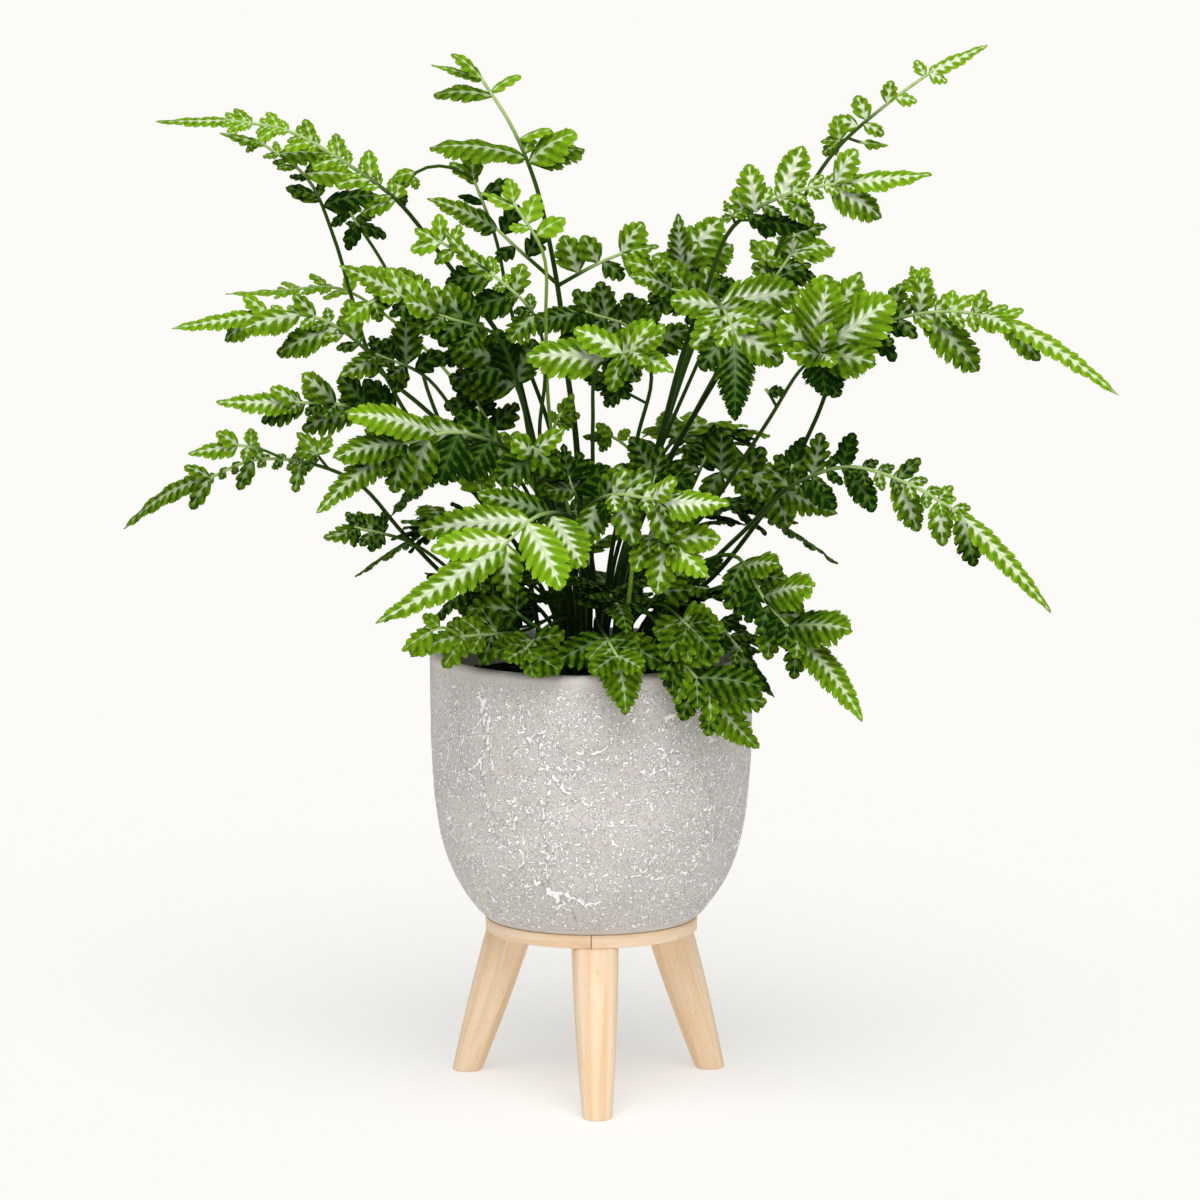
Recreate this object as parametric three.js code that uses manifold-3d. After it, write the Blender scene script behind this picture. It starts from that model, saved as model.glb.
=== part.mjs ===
// A potted silver lace fern: a textured round pot of soil on a small three-leg wooden stand, with a
// node for each frond. Millimetres, +Z up, the front of the pot faces -Y, the origin is on the floor
// under the pot's axis.
import * as THREE from 'three';
import * as BufferGeometryUtils from 'three/addons/utils/BufferGeometryUtils.js';
import Module from 'manifold-3d';

const wasm = await Module();
wasm.setup();

// Stand
const STAND_TOP = 81.5;
const STAND_RADIUS = 49.4;
const STAND_THICKNESS = 6.25;
const BAND_THICKNESS = 1.25;
const BAND_BUTT_GAP = 0.5;
const FIT_GAP = 0.3;
const LEG_COUNT = 3;
const LEG_TURN = THREE.MathUtils.degToRad(2.4);
const LEG_TOP_REACH = 41.5;
const LEG_FOOT_REACH = 66.6;
const LEG_TOP_RADIUS = 10.8;
const LEG_FOOT_RADIUS = 6.75;
const LEG_TAPER_POWER = 1.6;
const LEG_EDGE = 1;
const LEG_TOP_EDGE = 0.6;
const LEG_STATIONS = [0.75, 0.45];
const LEG_SIDES = 14;
const DISC_SIDES = 30;
const BAND_SEGMENTS = 20;

// Pot
const RIM_HEIGHT = 206;
const POT_RADIUS = 75;
const POT_WALL = 6.5;
const POT_FLOOR = 8;
const ROUND_SIDES = 32;
const POT_OUTSIDE = [
  [48.5, STAND_TOP], [52, 84.4], [58.2, 92.4], [64.2, 102.6], [69, 116], [72.4, 135],
  [74.3, 160], [POT_RADIUS, RIM_HEIGHT - 3],
];

// Soil
const SOIL_TOP = 192;
const HOLE_DEPTH = 12;
const HOLE_SIDES = 4;
const HOLE_RADIUS = 2.6;
const ROOT_SPACING = 5.8;
const ROOT_PULL = 0.62;
const CROWN_RADIUS = 34;

// The fronds are set out as they are seen from the front, from a viewing point this far away and
// this high: a point keeps its place in that view whatever its depth.
const EYE = { x: 4, z: 619, distance: 2600 };

// Fronds
const STALK_STEP = 30;
const STALK_SIDES = 3;
const STALK_TIP_GIRTH = 0.75;
const BLADE_HALF_THICKNESS = 0.6;
const TOOTH_DEPTH = 0.27;
const SPINE_START = 0.14;
const HEEL_DEPTH = 0.4;
const LEAF_ARCH = 0.1;
const SAMPLE_STEP = 2.6;
const LEAF_CLEARANCE = 3;
const OWN_CLEARANCE = 1.9;
const LEAF_ROOT = 7;
const STALK_CLEARANCE = 1.5;
const FLATNESS = 0.05;
const LEAFLET_PEAK = 0.74;
const LOBE_PEAK = 0.56;
const LEAFLET_FULLNESS = 1.15;
const LEAFLET_HALF = { least: 2.8, most: 11 };
const LOBE_TOOTH = 10;
const LONG_LEAFLET = 27;
const KEEL = 0.16;
const CURL = 0.012;
const TOOTH = { tip: 0.82, notch: 1.12, end: 0.55 };
const OPEN_ANGLE = { first: 58, last: 42 };
const CELL = 4;

// Colours
const CEMENT_GREY = 0xb5afac;
const SOIL_BROWN = 0x1d1712;
const WOOD_PALE = 0xe3c196;
const LEAF_GREEN = 0x3f7a23;
const STALK_LIGHT = 0x7fa544;

// name, then path: [x, z, depth] from above the crown to the tip, neck: where in it the leaflets
// start, end: how far from neck to tip the end lobe starts, lobe: its half width, leaves: each
// [place along the rachis, x, z of the leaflet's tip, its depth past the rachis], or pairs of
// leaflets from long to short, wide: a leaflet's half width to its length, face: how far the upper
// face tips from the sky to the viewer, in degrees.
const FRONDS = [
  {
    name: 'frond_front_low_left', face: 62, girth: 1.5, neck: 2, end: 0.38, lobe: 11.5, wide: 0.19,
    path: [[-4, 225, -22], [-6, 262, -48], [-14, 273, -62], [-29, 266, -84], [-41, 255, -100],
      [-60, 242, -120], [-100, 219, -150]],
    leaves: [[0.1, -53, 279, -12], [0.5, -78, 266, -18], [0.92, -74, 253, -16], [0.15, -4, 245, -22],
      [0.55, -20, 233, -22], [0.97, -38, 229, -20]],
  },
  {
    name: 'frond_front_high_left', face: 58, girth: 1.4, neck: 2, end: 0.5, lobe: 12, wide: 0.2,
    path: [[-12, 240, -12], [-22, 285, -28], [-42, 302, -44], [-56, 308, -54], [-69, 307, -64],
      [-83, 304, -76], [-98, 297, -88], [-113, 285, -102], [-127, 270, -116]],
    leaves: [[0.1, -58, 286, -14], [0.42, -70, 284, -16], [0.3, -104, 318, -8], [0.62, -122, 307, -14],
      [0.72, -85, 283, -16], [0.97, -92, 282, -12], [0.97, -119, 296, -22], [0, -62, 318, 6]],
  },
  {
    name: 'frond_right_nodding', face: 66, girth: 1.4, neck: 3, end: 0.36, lobe: 12.5, wide: 0.24,
    path: [[12, 240, 2], [34, 310, -4], [50, 355, -12], [59, 371, -26], [66, 354, -46],
      [67, 335, -58], [66, 313, -66]],
    leaves: [[0.1, 96, 373, -4], [0.55, 92, 352, -8], [0.97, 88, 340, -8], [0.1, 36, 369, -4],
      [0.55, 46, 347, -8], [0.97, 50, 337, -8]],
  },
  {
    name: 'frond_right_star', face: 66, girth: 1.4, neck: 4, end: 0.3, lobe: 12, wide: 0.24,
    path: [[22, 238, 4], [46, 262, -8], [71, 297, -30], [98, 340, -58], [104, 350, -68],
      [107, 342, -78], [108, 325, -88]],
    leaves: [[0, 108, 381, 2], [0.1, 124, 381, -6], [0.3, 139, 370, -10], [0.8, 131, 340, -12],
      [0.3, 86, 361, -4], [0.8, 89, 343, -6]],
  },
  {
    name: 'frond_right_long', face: 56, girth: 1.3, neck: 6, end: 0.54, lobe: 6.5, wide: 0.2,
    path: [[32, 219, -8], [53, 237, -16], [66, 253, -22], [82, 273, -32], [97, 300, -42],
      [108, 324, -52], [122, 352, -62], [137, 359, -68], [153, 363, -74], [163, 364, -80],
      [187, 361, -96], [204, 354, -110], [216, 346, -120], [228, 339, -128], [238, 332, -134],
      [243, 325, -140]],
    leaves: [[0.18, 143, 378, 2], [0.1, 140, 341, -10], [0.42, 153, 383, 4], [0.45, 178, 336, -14],
      [0.62, 166, 374, 2], [0.78, 181, 374, -4], [0.8, 196, 348, -14], [0.98, 207, 343, -10]],
  },
  {
    name: 'frond_right_low', face: 58, girth: 1.4, neck: 2, end: 0.6, lobe: 9, wide: 0.22,
    path: [[41, 230, -16], [66, 257, -30], [91, 282, -46], [108, 290, -54], [118, 292, -58],
      [139, 286, -68], [150, 283, -74], [167, 273, -84], [186, 256, -94], [200, 240, -102],
      [213, 224, -110]],
    leaves: [[0.15, 106, 308, 2], [0.3, 121, 308, 0], [0.1, 113, 272, -12], [0.35, 131, 273, -12],
      [0.62, 152, 296, 0], [0.6, 152, 263, -10], [0.85, 167, 283, -2], [0.85, 163, 256, -10],
      [1, 178, 246, -8], [0, 80, 293, 2]],
  },
  {
    name: 'frond_right_bottom', face: 60, girth: 1.3, neck: 2, end: 0.55, lobe: 11, wide: 0.22,
    path: [[30, 226, -20], [52, 248, -36], [68, 250, -46], [81, 229, -62], [90, 218, -72],
      [102, 206, -84], [112, 195, -92], [126, 173, -104]],
    leaves: [[0.1, 99, 239, -8], [0.42, 121, 226, -12], [0.8, 126, 209, -12], [0.15, 66, 224, -12],
      [0.55, 82, 203, -12], [0.92, 94, 194, -10]],
  },
  {
    name: 'frond_rim_front', face: 64, girth: 1.1, neck: 2, end: 0.45, lobe: 10, wide: 0.22,
    path: [[2, 222, -30], [4, 218, -48], [6, 213, -64], [11, 206, -80], [15, 192, -88],
      [16, 176, -91]],
    leaves: [[0.1, -16, 201, -12], [0.1, 34, 200, -8], [0.9, -2, 191, -8], [0.9, 30, 189, -6]],
  },
  {
    name: 'frond_rim_right', face: 58, girth: 1.1, neck: 2, end: 0.5, lobe: 10, wide: 0.22,
    path: [[16, 224, -26], [28, 222, -50], [36, 208, -70], [48, 193, -78], [56, 186, -76],
      [66, 172, -74], [78, 160, -68]],
    leaves: [[0.2, 27, 190, -8], [0.6, 42, 173, -6], [0.97, 54, 165, -4], [0.3, 62, 206, -2],
      [0.6, 80, 186, -2], [0.97, 82, 171, -4]],
  },
  {
    name: 'frond_middle_right', face: 58, girth: 1.3, neck: 2, end: 0.58, lobe: 10, wide: 0.2,
    path: [[2, 236, -20], [-2, 266, -40], [-1, 277, -58], [12, 279, -70], [28, 276, -82],
      [46, 275, -94], [64, 275, -104]],
    leaves: [[0.05, -6, 253, -16], [0.4, 20, 255, -12], [0.85, 36, 256, -10], [0.4, 28, 291, 0],
      [0.85, 52, 286, -6], [0.05, 14, 293, 4]],
  },
  {
    name: 'frond_pale_stalk', face: 56, girth: 1.4, neck: 3, end: 0.45, lobe: 10, wide: 0.22, light: true,
    path: [[15, 212, -40], [17, 229, -50], [21, 253, -62], [24, 262, -72], [34, 260, -84],
      [44, 251, -94], [54, 240, -102]],
    leaves: [[0.2, 20, 243, -12], [0.3, 48, 271, -4], [0.8, 30, 233, -8], [0.8, 60, 258, -6]],
  },
  {
    name: 'frond_top', face: 40, girth: 1.9, neck: 7, end: 0.66, lobe: 3.5, wide: 0.26,
    path: [[-4, 250, 4], [-7, 305, 8], [-11, 335, 10], [-14, 364, 12], [-15, 376, 12],
      [-19, 395, 14], [-24, 414, 16], [-28, 433, 18], [-38, 452, 22], [-42, 462, 24],
      [-48, 470, 26], [-59, 475, 30], [-73, 477, 34]],
    leaves: [[0, -7, 446, -4], [0.02, -3, 438, 6], [0.1, -23, 453, 4], [0.05, -74, 439, 4],
      [0.75, -72, 463, 2], [0.8, -32, 472, 2], [0.97, -64, 482, 0], [0.25, -17, 442, 2]],
  },
  {
    name: 'frond_top_right_branch', on: 'frond_top', face: 50, girth: 1, neck: 1, end: 0.6, lobe: 6,
    path: [[-15, 376, 12], [-8, 380, 8], [1, 385, 4], [15, 391, -2], [31, 394, -8]], wide: 0.3,
    leaves: [[0.1, -13, 399, 2], [0.5, -4, 399, 2], [0.95, 24, 405, 0], [0.6, 15, 379, -4],
      [0.97, 31, 384, -4]],
  },
  {
    name: 'frond_top_left_branch', on: 'frond_top', face: 50, girth: 1, neck: 1, end: 0.42, lobe: 8,
    path: [[-15, 376, 12], [-26, 386, 6], [-34, 393, 2], [-46, 404, -4], [-60, 411, -8],
      [-75, 416, -12]], wide: 0.26,
    leaves: [[0.2, -21, 403, 4], [0.8, -34, 414, 2], [0.5, -44, 387, -6]],
  },
  {
    name: 'frond_upper_right', face: 50, girth: 1.9, neck: 6, end: 0.6, lobe: 7.5, wide: 0.24,
    path: [[14, 240, -10], [32, 305, -16], [38, 330, -18], [45, 353, -20], [54, 377, -20],
      [61, 395, -20], [68, 407, -20], [85, 416, -26], [105, 422, -32], [122, 424, -38],
      [156, 427, -48]],
    leaves: [[0.05, 66, 421, 2], [0.15, 76, 432, 0], [0.42, 96, 441, 2], [0.4, 102, 405, -8],
      [0.85, 126, 437, 0], [0.8, 134, 410, -8], [0.1, 84, 399, -6]],
  },
  {
    name: 'frond_top_far_right', face: 50, girth: 1.6, neck: 8, end: 0.6, lobe: 5, wide: 0.3,
    path: [[14, 244, 8], [45, 312, 20], [60, 337, 26], [76, 363, 32], [83, 383, 36],
      [87, 401, 40], [103, 423, 46], [112, 438, 50], [122, 450, 54], [134, 458, 58],
      [146, 466, 62], [157, 475, 66], [181, 486, 74]],
    leaves: [[0, 110, 451, 2], [0.1, 121, 463, 2], [0.05, 134, 445, -2], [0.4, 137, 470, 2],
      [0.5, 149, 460, -2], [0.9, 148, 479, 2], [0.95, 163, 470, -2]],
  },
  {
    name: 'frond_left_long', face: 50, girth: 1.2, neck: 3, end: 0.55, lobe: 7, wide: 0.2,
    path: [[-42, 221, 4], [-75, 247, 16], [-106, 283, 34], [-125, 292, 46], [-144, 296, 58],
      [-160, 294, 70], [-175, 287, 82], [-197, 279, 98], [-216, 263, 112]],
    leaves: [[0.15, -134, 303, 2], [0.5, -157, 305, 2], [0.55, -163, 281, -4], [0.95, -188, 292, 2],
      [0.97, -185, 272, -4], [0.15, -137, 280, -6]],
  },
  {
    name: 'frond_left_middle', face: 56, girth: 1.3, neck: 3, end: 0.6, lobe: 7.5, wide: 0.21,
    path: [[-33, 253, -4], [-56, 281, -10], [-74, 304, -18], [-88, 316, -26], [-109, 320, -34],
      [-125, 322, -40], [-146, 322, -48], [-173, 322, -58]],
    leaves: [[0.3, -120, 333, 0], [0.6, -137, 333, 0], [0.95, -150, 332, -2], [0.35, -134, 312, -6],
      [0.85, -153, 315, -4], [0.05, -104, 334, 2], [0.05, -104, 303, -8]],
  },
  {
    name: 'frond_left_high', face: 54, girth: 1.4, neck: 5, end: 0.58, lobe: 6, wide: 0.21,
    path: [[-20, 250, 6], [-56, 281, 10], [-74, 299, 14], [-86, 318, 16], [-97, 335, 18],
      [-104, 348, 20], [-113, 356, 22], [-123, 360, 24], [-134, 363, 26], [-151, 363, 28],
      [-166, 361, 28], [-193, 356, 28]],
    leaves: [[0.1, -112, 370, 2], [0.3, -147, 350, -6], [0.65, -160, 353, -4], [0.5, -137, 372, 2],
      [0.95, -172, 354, -3], [0.9, -160, 371, 2]],
  },
  {
    name: 'frond_top_left', face: 46, girth: 1.6, neck: 7, end: 0.74, lobe: 4, wide: 0.26,
    path: [[-14, 249, 8], [-28, 307, 20], [-32, 333, 24], [-46, 358, 30], [-55, 371, 34],
      [-66, 386, 38], [-76, 399, 42], [-88, 414, 46], [-100, 423, 50], [-109, 430, 52],
      [-123, 438, 54], [-134, 445, 56], [-156, 451, 58], [-170, 452, 60], [-199, 451, 62]],
    pairs: 6, long: 18, short: 10,
  },
  {
    name: 'frond_far_left', face: 46, girth: 1.5, neck: 7, end: 0.72, lobe: 4, wide: 0.28,
    path: [[-16, 246, 20], [-56, 300, 54], [-86, 327, 72], [-102, 343, 80], [-108, 364, 84],
      [-115, 384, 88], [-119, 402, 90], [-123, 414, 92], [-130, 425, 92], [-136, 433, 92],
      [-142, 437, 92], [-150, 442, 92], [-170, 446, 90]],
    leaves: [[0, -97, 417, 2], [0.05, -140, 421, 2], [0.35, -108, 426, 2], [0.6, -146, 432, -2],
      [0.7, -120, 436, 2], [0.97, -158, 437, -2]],
  },
  {
    name: 'frond_left_small_head', face: 46, girth: 1.2, neck: 7, end: 0.6, lobe: 3.5, wide: 0.3,
    path: [[-22, 250, 14], [-56, 290, 34], [-74, 320, 44], [-77, 343, 50], [-81, 353, 52],
      [-85, 365, 54], [-94, 383, 58], [-104, 402, 60], [-116, 415, 62]],
    leaves: [[0.2, -94, 398, 2], [0.6, -99, 408, 2], [0.4, -112, 392, -2], [0.97, -119, 403, -2]],
  },
  {
    name: 'frond_left_side_on', face: 20, girth: 1, neck: 4, end: 0.6, lobe: 4, wide: 0.22, light: true,
    path: [[-10, 252, 26], [-40, 300, 70], [-70, 340, 100], [-94, 362, 116], [-108, 373, 122],
      [-134, 374, 128], [-150, 373, 130], [-168, 372, 132]],
    pairs: 3, long: 17, short: 12,
  },
  {
    name: 'frond_inner_left_tall', face: 44, girth: 1.3, neck: 4, end: 0.6, lobe: 4, wide: 0.26,
    path: [[-8, 250, 16], [-22, 320, 30], [-34, 352, 36], [-42, 389, 40], [-46, 406, 42],
      [-52, 419, 44], [-55, 428, 46], [-60, 436, 48]],
    leaves: [[0.4, -78, 427, 2], [0.5, -36, 424, 2], [0.95, -68, 440, 2], [0.95, -48, 439, -2]],
  },
  {
    name: 'frond_pale_thin', face: 40, girth: 1, neck: 3, end: 0.62, lobe: 4.5, wide: 0.28, light: true,
    path: [[-6, 250, -4], [-19, 312, -10], [-21, 367, -14], [-22, 391, -14], [-27, 405, -12],
      [-36, 414, -8], [-51, 419, -4]],
    leaves: [[0.3, -12, 407, 2], [0.6, -26, 420, 2], [0.5, -38, 402, -3], [0.97, -38, 425, 2]],
  },
  {
    name: 'frond_inner_left', face: 60, girth: 1.1, neck: 3, end: 0.5, lobe: 6, wide: 0.3,
    path: [[-14, 246, -8], [-24, 310, -16], [-21, 344, -24], [-26, 362, -30], [-41, 378, -34],
      [-58, 391, -36], [-68, 402, -38]],
    leaves: [[0, -38, 350, -8], [0.4, -55, 368, -6], [0.5, -31, 386, 2], [0.95, -68, 381, -4],
      [0.95, -48, 398, 2]],
  },
  {
    name: 'frond_middle_upper', face: 56, girth: 1.3, neck: 3, end: 0.5, lobe: 9, wide: 0.26,
    path: [[8, 244, 14], [20, 300, 26], [28, 338, 30], [26, 348, 24], [12, 360, 14],
      [-5, 364, 4], [-19, 364, -4], [-38, 358, -12]],
    leaves: [[0.1, 4, 340, -8], [0.3, 24, 370, 4], [0.7, 4, 378, 4], [0.8, -14, 346, -6],
      [0, 46, 356, 4]],
  },
  {
    name: 'frond_middle_lower', face: 56, girth: 1.3, neck: 3, end: 0.5, lobe: 8, wide: 0.22,
    path: [[0, 244, -14], [1, 300, -24], [1, 332, -34], [6, 343, -44], [16, 348, -54],
      [26, 344, -64], [38, 336, -72]],
    leaves: [[0.05, -30, 343, -2], [0.5, -8, 356, 2], [0.3, 34, 357, -2], [0.6, 6, 328, -8],
      [0.97, 44, 349, -4]],
  },
  {
    name: 'frond_upper_fan', face: 56, girth: 1.2, neck: 3, end: 0.5, lobe: 7.5, wide: 0.26,
    path: [[10, 246, 24], [34, 310, 44], [44, 348, 50], [48, 362, 50], [43, 378, 46],
      [40, 394, 40], [40, 409, 34]],
    leaves: [[0.3, 66, 378, -2], [0.8, 64, 400, 2], [0.97, 58, 411, 2], [0.4, 26, 380, -2],
      [0.95, 25, 397, 0]],
  },
  {
    name: 'frond_upper_low', face: 56, girth: 1.2, neck: 3, end: 0.55, lobe: 7, wide: 0.26,
    path: [[12, 244, 10], [40, 320, 12], [56, 356, 12], [60, 368, 6], [48, 372, -2],
      [30, 375, -8], [12, 375, -14]],
    leaves: [[0.2, 52, 385, 4], [0.6, 34, 388, 4], [0.3, 44, 358, -6], [0.9, 26, 361, -6]],
  },
  {
    name: 'frond_upper_back', face: 40, girth: 1.3, neck: 3, end: 0.55, lobe: 6, wide: 0.3,
    path: [[16, 246, 16], [44, 310, 34], [66, 350, 46], [82, 376, 56], [88, 386, 62],
      [95, 395, 68], [100, 406, 72]],
    leaves: [[0.1, 74, 386, 2], [0.5, 80, 398, 2], [0.3, 104, 386, 2], [0.95, 112, 400, 4],
      [0.97, 88, 412, 2]],
  },
  {
    name: 'frond_right_inner', face: 58, girth: 1.2, neck: 2, end: 0.5, lobe: 7.5, wide: 0.24,
    path: [[20, 234, -2], [44, 266, 2], [58, 288, 2], [68, 292, -2], [84, 284, -8],
      [98, 277, -12], [114, 270, -18]],
    leaves: [[0.1, 60, 309, 0], [0.1, 52, 276, -8], [0.6, 78, 272, -8], [0.5, 80, 301, 0],
      [0.97, 104, 290, -2], [0.97, 92, 264, -8]],
  },
  {
    name: 'frond_right_upright', face: 50, girth: 1, neck: 2, end: 0.4, lobe: 6, wide: 0.32,
    path: [[18, 236, 6], [40, 270, 14], [50, 290, 18], [54, 299, 16], [57, 312, 12]],
    leaves: [[0.5, 42, 308, 0], [0.6, 69, 307, 0], [0, 38, 297, 0]],
  },
  {
    name: 'frond_rim_far_right', face: 30, girth: 1, neck: 2, end: 0.5, lobe: 6, wide: 0.24,
    path: [[26, 222, -10], [44, 228, -26], [56, 222, -38], [68, 208, -52], [76, 196, -58],
      [85, 184, -62]],
    leaves: [[0.2, 70, 222, 4], [0.6, 82, 208, 4], [0.4, 57, 202, -8], [0.95, 70, 189, -6]],
  },
  {
    name: 'frond_rim_maple', face: 66, girth: 1, neck: 2, end: 0.4, lobe: 8, wide: 0.36,
    path: [[20, 222, -36], [32, 228, -54], [43, 226, -66], [46, 214, -76], [45, 200, -82]],
    leaves: [[0.3, 62, 219, -4], [0.3, 30, 216, -8], [0.95, 58, 203, -4], [0.95, 33, 202, -6]],
  },
  {
    name: 'frond_rim_left', face: 60, girth: 1, neck: 2, end: 0.5, lobe: 7, wide: 0.26,
    path: [[-10, 222, -22], [-26, 218, -44], [-38, 213, -58], [-54, 213, -66], [-71, 211, -70],
      [-84, 203, -72]],
    leaves: [[0.2, -52, 227, 2], [0.6, -68, 226, 2], [0.3, -50, 199, -8], [0.9, -70, 199, -6]],
  },
  {
    name: 'frond_rim_front_left', face: 62, girth: 1, neck: 2, end: 0.45, lobe: 7, wide: 0.3,
    path: [[-8, 222, -30], [-18, 219, -50], [-28, 214, -64], [-31, 205, -76], [-27, 193, -84]],
    leaves: [[0.3, -12, 211, -6], [0.4, -46, 205, -4], [0.95, -43, 195, -4], [0.95, -14, 196, -6]],
  },
  {
    name: 'frond_left_lower', face: 54, girth: 1.1, neck: 2, end: 0.55, lobe: 7, wide: 0.24,
    path: [[-40, 224, -14], [-70, 246, -24], [-92, 262, -34], [-108, 264, -42], [-124, 259, -50]],
    leaves: [[0.2, -96, 276, 2], [0.7, -112, 276, 0], [0.3, -102, 250, -6], [0.9, -112, 249, -6]],
  },
  {
    name: 'frond_left_fold', face: 60, girth: 1.2, neck: 3, end: 0.5, lobe: 8.5, wide: 0.26,
    path: [[-18, 246, -6], [-50, 298, -14], [-72, 328, -20], [-82, 341, -24], [-92, 346, -30],
      [-104, 342, -38], [-116, 334, -46]],
    leaves: [[0.2, -85, 362, 2], [0.6, -106, 360, 2], [0.3, -90, 326, -8], [0.97, -106, 325, -8],
      [0, -68, 345, 0]],
  },
  {
    name: 'frond_left_bright', face: 56, girth: 1.1, neck: 3, end: 0.64, lobe: 7, wide: 0.26,
    path: [[-16, 252, -14], [-29, 306, -28], [-36, 338, -32], [-48, 357, -40], [-61, 360, -46],
      [-72, 363, -52], [-93, 374, -60], [-104, 380, -64], [-116, 385, -68]],
    leaves: [[0.25, -66, 377, 2], [0.6, -88, 387, 2], [0.95, -106, 388, 2], [0.2, -70, 348, -6],
      [0.55, -96, 361, -6], [0.95, -109, 370, -4]],
  },
  {
    name: 'frond_inner_left_low', face: 56, girth: 1.1, neck: 3, end: 0.6, lobe: 6.5, wide: 0.26,
    path: [[-12, 250, 6], [-24, 290, 8], [-30, 316, 8], [-32, 328, 6], [-42, 339, 4], [-54, 347, 2],
      [-73, 357, 0], [-86, 356, -2]],
    leaves: [[0.1, -64, 336, -8], [0.5, -72, 345, -6], [0.15, -42, 354, 2], [0.6, -60, 364, 4]],
  },
  {
    name: 'frond_inner_left_back', face: 46, girth: 1.1, neck: 3, end: 0.55, lobe: 6.5, wide: 0.28,
    path: [[-10, 250, 14], [-26, 284, 18], [-38, 298, 20], [-43, 305, 20], [-50, 318, 20],
      [-58, 328, 20], [-66, 334, 20]],
    leaves: [[0.1, -66, 312, -2], [0.2, -32, 320, 2], [0.9, -68, 322, -2], [0.8, -46, 330, 2]],
  },
  {
    name: 'frond_middle_left', face: 58, girth: 1.1, neck: 2, end: 0.3, lobe: 7, wide: 0.3,
    path: [[-8, 244, -18], [-22, 272, -38], [-31, 296, -58], [-25, 303, -62], [-12, 310, -66]],
    leaves: [[0.1, -44, 285, -8], [0.9, -15, 291, -8], [0.2, -38, 310, -2], [0, -50, 296, -6]],
  },
  {
    name: 'frond_crown_left', face: 50, girth: 1.1, neck: 2, end: 0.4, lobe: 6.5, wide: 0.28,
    path: [[-2, 240, -14], [-2, 262, -26], [-7, 278, -36], [-11, 288, -40], [-13, 303, -44]],
    leaves: [[0.2, -29, 290, -2], [0.2, 9, 292, -2], [0.8, -28, 301, 0], [0.8, 3, 306, -2]],
  },
  {
    name: 'frond_crown_right', face: 50, girth: 1.1, neck: 2, end: 0.4, lobe: 6.5, wide: 0.22,
    path: [[10, 240, -8], [20, 262, -14], [28, 279, -20], [30, 288, -22], [33, 302, -24]],
    leaves: [[0.2, 12, 293, 0], [0.2, 49, 287, 0], [0.8, 18, 306, 0], [0.8, 46, 301, 0]],
  },
];

// Fronds that the front view hides or shows only in part: [name, direction in degrees with 0 at +X
// and 90 at the back, reach, greatest height, half width of the end lobe, pairs of leaflets]
const HIDDEN_FRONDS = [
  ['frond_back_right', 55, 158, 300, 9, 2],
  ['frond_back_middle', 96, 150, 262, 9, 2],
  ['frond_back_left', 128, 158, 292, 9, 2],
  ['frond_back_far_left', 158, 120, 262, 8, 2],
  ['frond_back_far_right', 28, 132, 268, 8, 2],
  ['frond_low_front_left', 214, 92, 246, 8, 1],
  ['frond_low_front', 282, 76, 240, 7, 1],
  ['frond_low_right', 338, 96, 240, 8, 1],
  ['frond_low_left', 184, 96, 240, 8, 1],
  ['frond_low_back', 78, 92, 232, 8, 1],
];

// A closed LatheGeometry or ExtrudeGeometry as a solid
function toSolid(geometry) {
  const bare = geometry.index ? geometry.toNonIndexed() : geometry.clone();
  bare.deleteAttribute('normal');
  bare.deleteAttribute('uv');
  const merged = BufferGeometryUtils.mergeVertices(bare, 1e-4);
  const triVerts = [];
  const index = merged.index.array;
  for (let i = 0; i < index.length; i += 3) {
    const [a, b, c] = [index[i], index[i + 1], index[i + 2]];
    if (a !== b && b !== c && c !== a) triVerts.push(a, b, c);
  }
  return new wasm.Manifold(new wasm.Mesh({
    numProp: 3,
    vertProperties: new Float32Array(merged.attributes.position.array),
    triVerts: new Uint32Array(triVerts),
  }));
}

// A solid back as geometry
function toGeometry(solid) {
  const mesh = solid.getMesh();
  const geometry = new THREE.BufferGeometry();
  geometry.setAttribute('position', new THREE.BufferAttribute(mesh.vertProperties, 3));
  geometry.setIndex(new THREE.BufferAttribute(mesh.triVerts, 1));
  geometry.computeVertexNormals();
  return geometry;
}

// A profile of [radius, height] turned about +Z
function turned(profile, sides) {
  const points = profile.map(([radius, height]) => new THREE.Vector2(radius, height));
  return new THREE.LatheGeometry(points, sides).rotateX(Math.PI / 2);
}

// Distance from the axis to the pot's outside at a height
function potRadiusAt(height) {
  for (let i = 1; i < POT_OUTSIDE.length; i++) {
    const [r0, z0] = POT_OUTSIDE[i - 1];
    const [r1, z1] = POT_OUTSIDE[i];
    if (height <= z1) return r0 + (r1 - r0) * Math.max(0, height - z0) / (z1 - z0);
  }
  return POT_RADIUS;
}

// The cavity's wall from the floor up to a height, in from the pot's wall by a gap
function cavityProfile(topHeight, gap) {
  const floor = STAND_TOP + POT_FLOOR + gap;
  const heights = [floor + 5, 116, 140, topHeight];
  const wall = heights.map((z) => [potRadiusAt(z) - POT_WALL - gap, z]);
  return [[0, floor], [potRadiusAt(floor) - POT_WALL - gap - 3, floor], ...wall];
}

function potGeometry() {
  const rimRound = [
    [POT_RADIUS - 0.9, RIM_HEIGHT - 0.9], [POT_RADIUS - 3, RIM_HEIGHT],
    [POT_RADIUS - POT_WALL + 0.8, RIM_HEIGHT - 0.3],
  ];
  const inside = cavityProfile(RIM_HEIGHT - 1.6, 0).reverse();
  return turned([[0, STAND_TOP], ...POT_OUTSIDE, ...rimRound, ...inside], ROUND_SIDES);
}

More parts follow.
